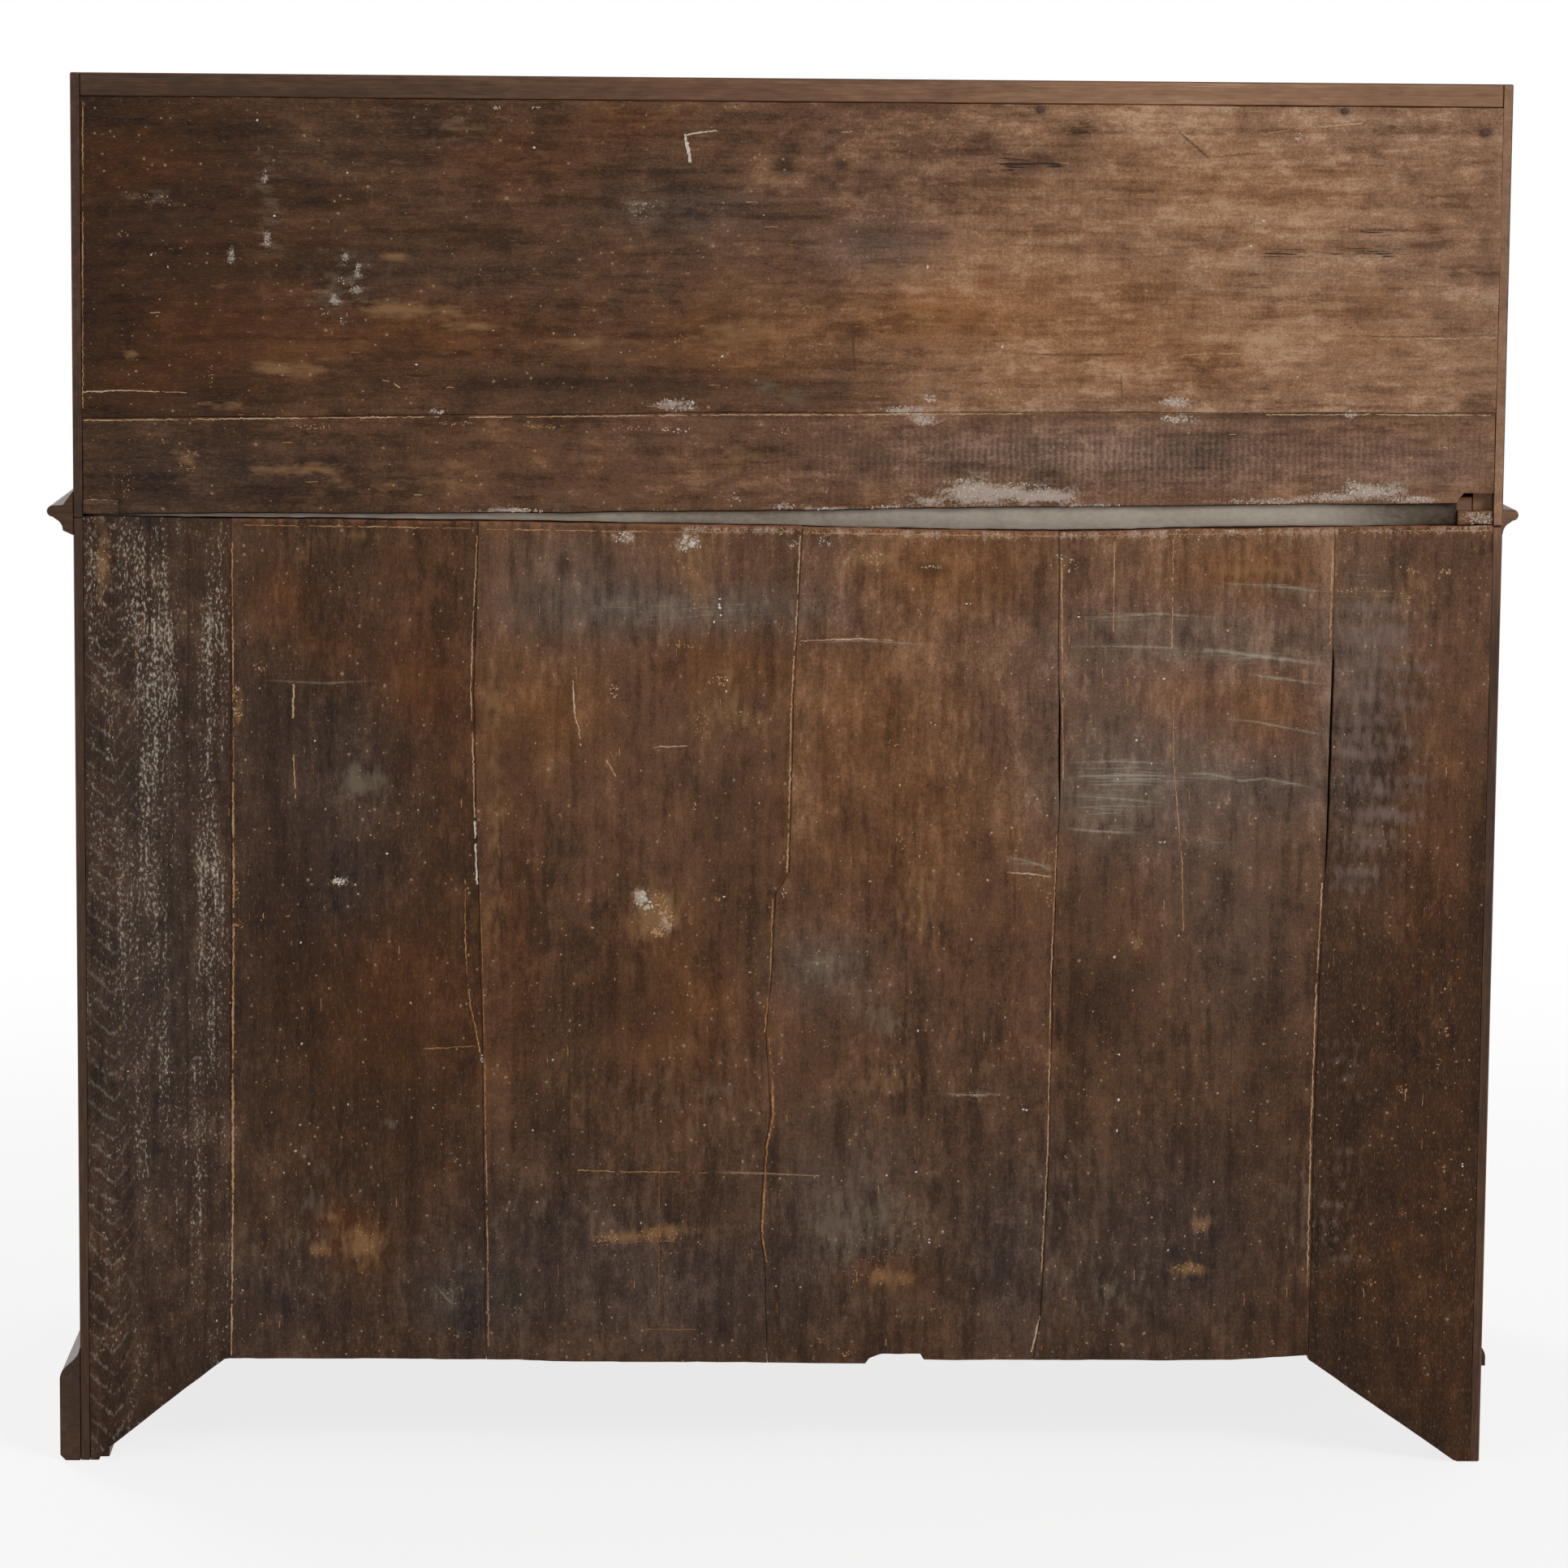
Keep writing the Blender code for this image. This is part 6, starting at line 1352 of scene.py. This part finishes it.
def oak(name, along, stops, shine, edge_code, edge_share, raw_rear):
    """Oak with its grain along one axis; its rear faces were never stained or waxed where raw_rear is 1."""
    material, tree, shader = new_finish(name)
    place = add(tree, "TexCoord", {}, out="Object")
    faces_to = add(tree, "SeparateXYZ", {0: add(tree, "TexCoord", {}, out="Normal")}).node.outputs
    # On a face turned sideways, grain along X would run into the wood, so it runs along Y there.
    if along == 0:
        parts = add(tree, "SeparateXYZ", {0: place}).node.outputs
        swapped = add(tree, "CombineXYZ", {"X": parts["Y"], "Y": parts["X"], "Z": parts["Z"]})
        sideways = add(tree, "Math", {0: faces_to["X"]}, operation="ABSOLUTE")
        sideways = add(tree, "Math", {0: sideways, 1: 0.5}, operation="GREATER_THAN")
        place = add(tree, "MixRGB", {"Fac": sideways, "Color1": place, "Color2": swapped})
    pores = grain_noise(tree, place, along, *PORE_MM, detail=3.0)
    rings = grain_noise(tree, place, along, *RING_MM, detail=4.0)
    cloud = grain_noise(tree, place, along, *CLOUD_MM, detail=4.0)
    rays = grain_noise(tree, place, along, *SILVER_MM, detail=2.0)
    tone = weigh(tree, 0.5, [(pores, 0.55), (rings, 0.75), (cloud, 0.55)])
    colour = add(tree, "ValToRGB", {"Fac": tone}, stops=stops)
    silver = add(tree, "MapRange", {"Value": rays, "From Min": 0.10, "From Max": 0.30, "To Max": 0.20})
    colour = add(tree, "MixRGB", {"Fac": silver, "Color1": colour, "Color2": linear(edge_code)})

    # Edges that use has rubbed light: where a rounded normal departs from the face's own.
    rounded = add(tree, "Bevel", {"Radius": EDGE_MM / 1000.0}, samples=6)
    straight_on = add(tree, "NewGeometry", {}, out="Normal")
    turned = add(tree, "VectorMath", {0: rounded, 1: straight_on}, out="Value", operation="DOT_PRODUCT")
    edges = add(tree, "MapRange", {"Value": turned, "From Min": 0.995, "From Max": 0.85})
    rubbed = weigh(tree, 0.35, [(rings, 1.6), (cloud, 1.6)])
    rubbed = add(tree, "Math", {0: rubbed, 1: edges}, operation="MULTIPLY", use_clamp=True)
    rubbed = add(tree, "Math", {0: rubbed, 1: edge_share}, operation="MULTIPLY")
    colour = add(tree, "MixRGB", {"Fac": rubbed, "Color1": colour, "Color2": linear(edge_code)})

    # Rear faces: bare like the back boards, and paler towards the photograph's right high up, partly worn and
    # partly painted highlight on the side the light comes from.
    bare = add(
        tree, "MapRange", {"Value": faces_to["Y"], "From Min": 0.85, "From Max": 0.95, "To Max": raw_rear}
    )
    spot = add(tree, "SeparateXYZ", {0: add(tree, "TexCoord", {}, out="Object")}).node.outputs
    pale_lit_and_worn = add(
        tree, "MapRange",
        {"Value": spot["X"], "From Min": RAW_LIGHT_FROM, "From Max": RAW_LIGHT_TO, "To Max": 0.44},
    )
    upper = add(tree, "MapRange", {"Value": spot["Z"], "From Min": RAW_LOW, "From Max": RAW_HIGH})
    pale_lit_and_worn = add(tree, "Math", {0: pale_lit_and_worn, 1: upper, 2: 0.25}, operation="MULTIPLY_ADD")
    raw_tone = weigh(tree, pale_lit_and_worn, [(pores, 0.4), (rings, 0.35), (cloud, 0.4), (rays, 0.3)])
    raw_colour = add(tree, "ValToRGB", {"Fac": raw_tone}, stops=WOOD_TONES)
    colour = add(tree, "MixRGB", {"Fac": bare, "Color1": colour, "Color2": raw_colour})

    tree.links.new(colour, shader.inputs["Base Color"])
    roughness = weigh(tree, shine, [(pores, 0.25), (cloud, 0.35), (bare, 0.3)])
    tree.links.new(roughness, shader.inputs["Roughness"])
    shader.inputs["IOR"].default_value = 1.5
    shader.inputs["Specular IOR Level"].default_value = 0.32
    height = weigh(tree, 0.0, [(pores, 1.0), (rings, 0.4)])
    bump = add(tree, "Bump", {"Height": height, "Strength": 0.35, "Distance": 0.0008})
    tree.links.new(bump, shader.inputs["Normal"])
    return material


HOLLOW_MM = 4.0
TARNISH_MM = 14.0
PIT_MM = 1.2


def aged_brass(name):
    """Cast brass, lacquer long gone: a warm yellow metal under a thin brown tarnish."""
    material, tree, shader = new_finish(name)
    place = add(tree, "TexCoord", {}, out="Object")
    tarnish = grain_noise(tree, place, 0, TARNISH_MM, TARNISH_MM, detail=5.0)
    pits = grain_noise(tree, place, 0, PIT_MM, PIT_MM, detail=2.0)
    hollow = add(tree, "AmbientOcclusion", {"Distance": HOLLOW_MM / 1000.0}, out="AO", samples=8)
    open_air = add(tree, "MapRange", {"Value": hollow, "From Min": 0.35, "From Max": 0.95})
    mask = weigh(tree, 0.95, [(open_air, -0.60), (tarnish, 1.5)])
    bright, dull = linear("#a98a50"), linear("#4c381d")
    colour = add(tree, "MixRGB", {"Fac": mask, "Color1": bright, "Color2": dull}, use_clamp=True)
    tree.links.new(colour, shader.inputs["Base Color"])
    shader.inputs["Metallic"].default_value = 1.0
    tree.links.new(weigh(tree, 0.34, [(mask, 0.20), (pits, 0.2)]), shader.inputs["Roughness"])
    bump = add(tree, "Bump", {"Height": pits, "Strength": 0.12, "Distance": 0.0005})
    tree.links.new(bump, shader.inputs["Normal"])
    return material


SHOW_TONES = [(0.15, "#1f1109"), (0.45, "#422515"), (0.7, "#653d23"), (0.95, "#835432")]
LINING_TONES = [(0.15, "#4d3620"), (0.5, "#7d5c3a"), (0.75, "#9b7850"), (0.95, "#b8966b")]
show_oak = [
    oak("waxed fumed oak, grain along " + "XYZ"[axis], axis, SHOW_TONES, 0.46, "#98704a", 0.6, 1.0)
    for axis in range(3)
]
dry_oak = [
    oak("dry planed oak, grain along " + "XYZ"[axis], axis, LINING_TONES, 0.72, "#c3a67c", 0.4, 0.0)
    for axis in range(3)
]
brass = aged_brass("aged cast brass")
print("materials:", [finish.name for finish in (*show_oak, *dry_oak, brass)])

# %% [markdown]
# Each solid of the frame already has a slot that says what it is made of. Its finish follows from that
# slot, so no list of pieces is needed here. The boards made above stand for their own solids.

# %% Dress the frame's solids
finish_of_node = {part["node"]: part["material_slot"] for part in frame["record"]["subparts"]}
for node, solid in frame["nodes"].items():
    low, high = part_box(node)
    longest = max(range(3), key=lambda axis: (high - low)[axis])
    if finish_of_node[node] == "brass":
        chosen = brass
    elif finish_of_node[node] == "lining":
        chosen = dry_oak[longest]
    else:
        chosen = show_oak[longest]
    solid.data.materials.clear()
    solid.data.materials.append(chosen)
print("finishes:", {s: list(finish_of_node.values()).count(s) for s in set(finish_of_node.values())})

# %% [markdown]
# ## Keyholes
# The fall and the long drawers lock. A keyhole in such oak has no plate, only a thin brass thread let into
# the wood around it. Each is a closed ring in the outline of the hole, seated on the front face that a ray
# from the room meets. Inside the ring, a dark iron plug with its face just proud of the wood is painted
# shade: it stands for the dark of the hole, which is not cut.

# %% Thread escutcheons
KEY_RADIUS = 0.0030
KEY_SLOT = 0.0012
KEY_LENGTH = 0.0090
THREAD_WIDTH = 0.0011
THREAD_PROUD = 0.0004
THREAD_SUNK = 0.0006
KEYHOLES = [
    ("fall", "fall_panel", 0.86), ("drawer_top", "drawer_top_front", 0.70),
    ("drawer_middle", "drawer_middle_front", 0.70), ("drawer_bottom", "drawer_bottom_front", 0.70),
]


def keyhole_outline(grow):
    """A round hole over a slot, as points across and up, wider all round by grow."""
    gap = math.asin((KEY_SLOT + grow) / (KEY_RADIUS + grow))
    turns = np.linspace(gap - 0.5 * math.pi, 1.5 * math.pi - gap, 17)
    hole = [((KEY_RADIUS + grow) * math.cos(t), (KEY_RADIUS + grow) * math.sin(t)) for t in turns]
    foot = KEY_LENGTH + grow
    return hole + [(-KEY_SLOT - grow, -foot), (KEY_SLOT + grow, -foot)]


def keyhole_piece(name, body, finish, seat, loops, closed):
    """A band through loops of points (across, up, out) on a seat; closed ties the last loop to the first."""
    made = bmesh.new()
    rings = [[made.verts.new(seat @ Vector((a, b, out))) for a, b in outline] for outline, out in loops]
    for near, far in zip(rings, rings[1:] + rings[:1] if closed else rings[1:]):
        for at in range(len(near)):
            made.faces.new((near[at - 1], near[at], far[at], far[at - 1]))
    if not closed:
        made.faces.new(rings[0])
        made.faces.new(rings[-1])
    bmesh.ops.recalc_face_normals(made, faces=made.faces)
    mesh = bpy.data.meshes.new(name)
    made.to_mesh(mesh)
    made.free()
    mesh.materials.append(finish)
    piece = bpy.data.objects.new(name, mesh)
    scene.collection.objects.link(piece)
    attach(piece, body)
    return piece


for body, node, height_share in KEYHOLES:
    low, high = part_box(node)
    height = low.z + height_share * (high.z - low.z)
    _, place, out, _ = frame["nodes"][node].ray_cast((0.0, -1.0, height), (0.0, 1.0, 0.0))
    up = (Vector((0.0, 0.0, 1.0)) - out * out.z).normalized()
    across = up.cross(out)
    seat = Matrix.Translation(place) @ Matrix((across, up, out)).transposed().to_4x4()
    inner, outer = keyhole_outline(0.0), keyhole_outline(THREAD_WIDTH)
    loops = [(inner, -THREAD_SUNK), (inner, THREAD_PROUD), (outer, THREAD_PROUD), (outer, -THREAD_SUNK)]
    keyhole_piece("key_thread_" + body, body, brass, seat, loops, True)
    # Painted shade: a dark iron plug fills the hole's outline in place of the dark inside a real keyhole.
    shade = [(keyhole_outline(0.0002), -THREAD_SUNK), (keyhole_outline(0.0002), 0.0001)]
    keyhole_piece("key_shade_" + body, body, iron, seat, shade, False)
    print("keyhole of", body, "at", [round(c, 4) for c in place])
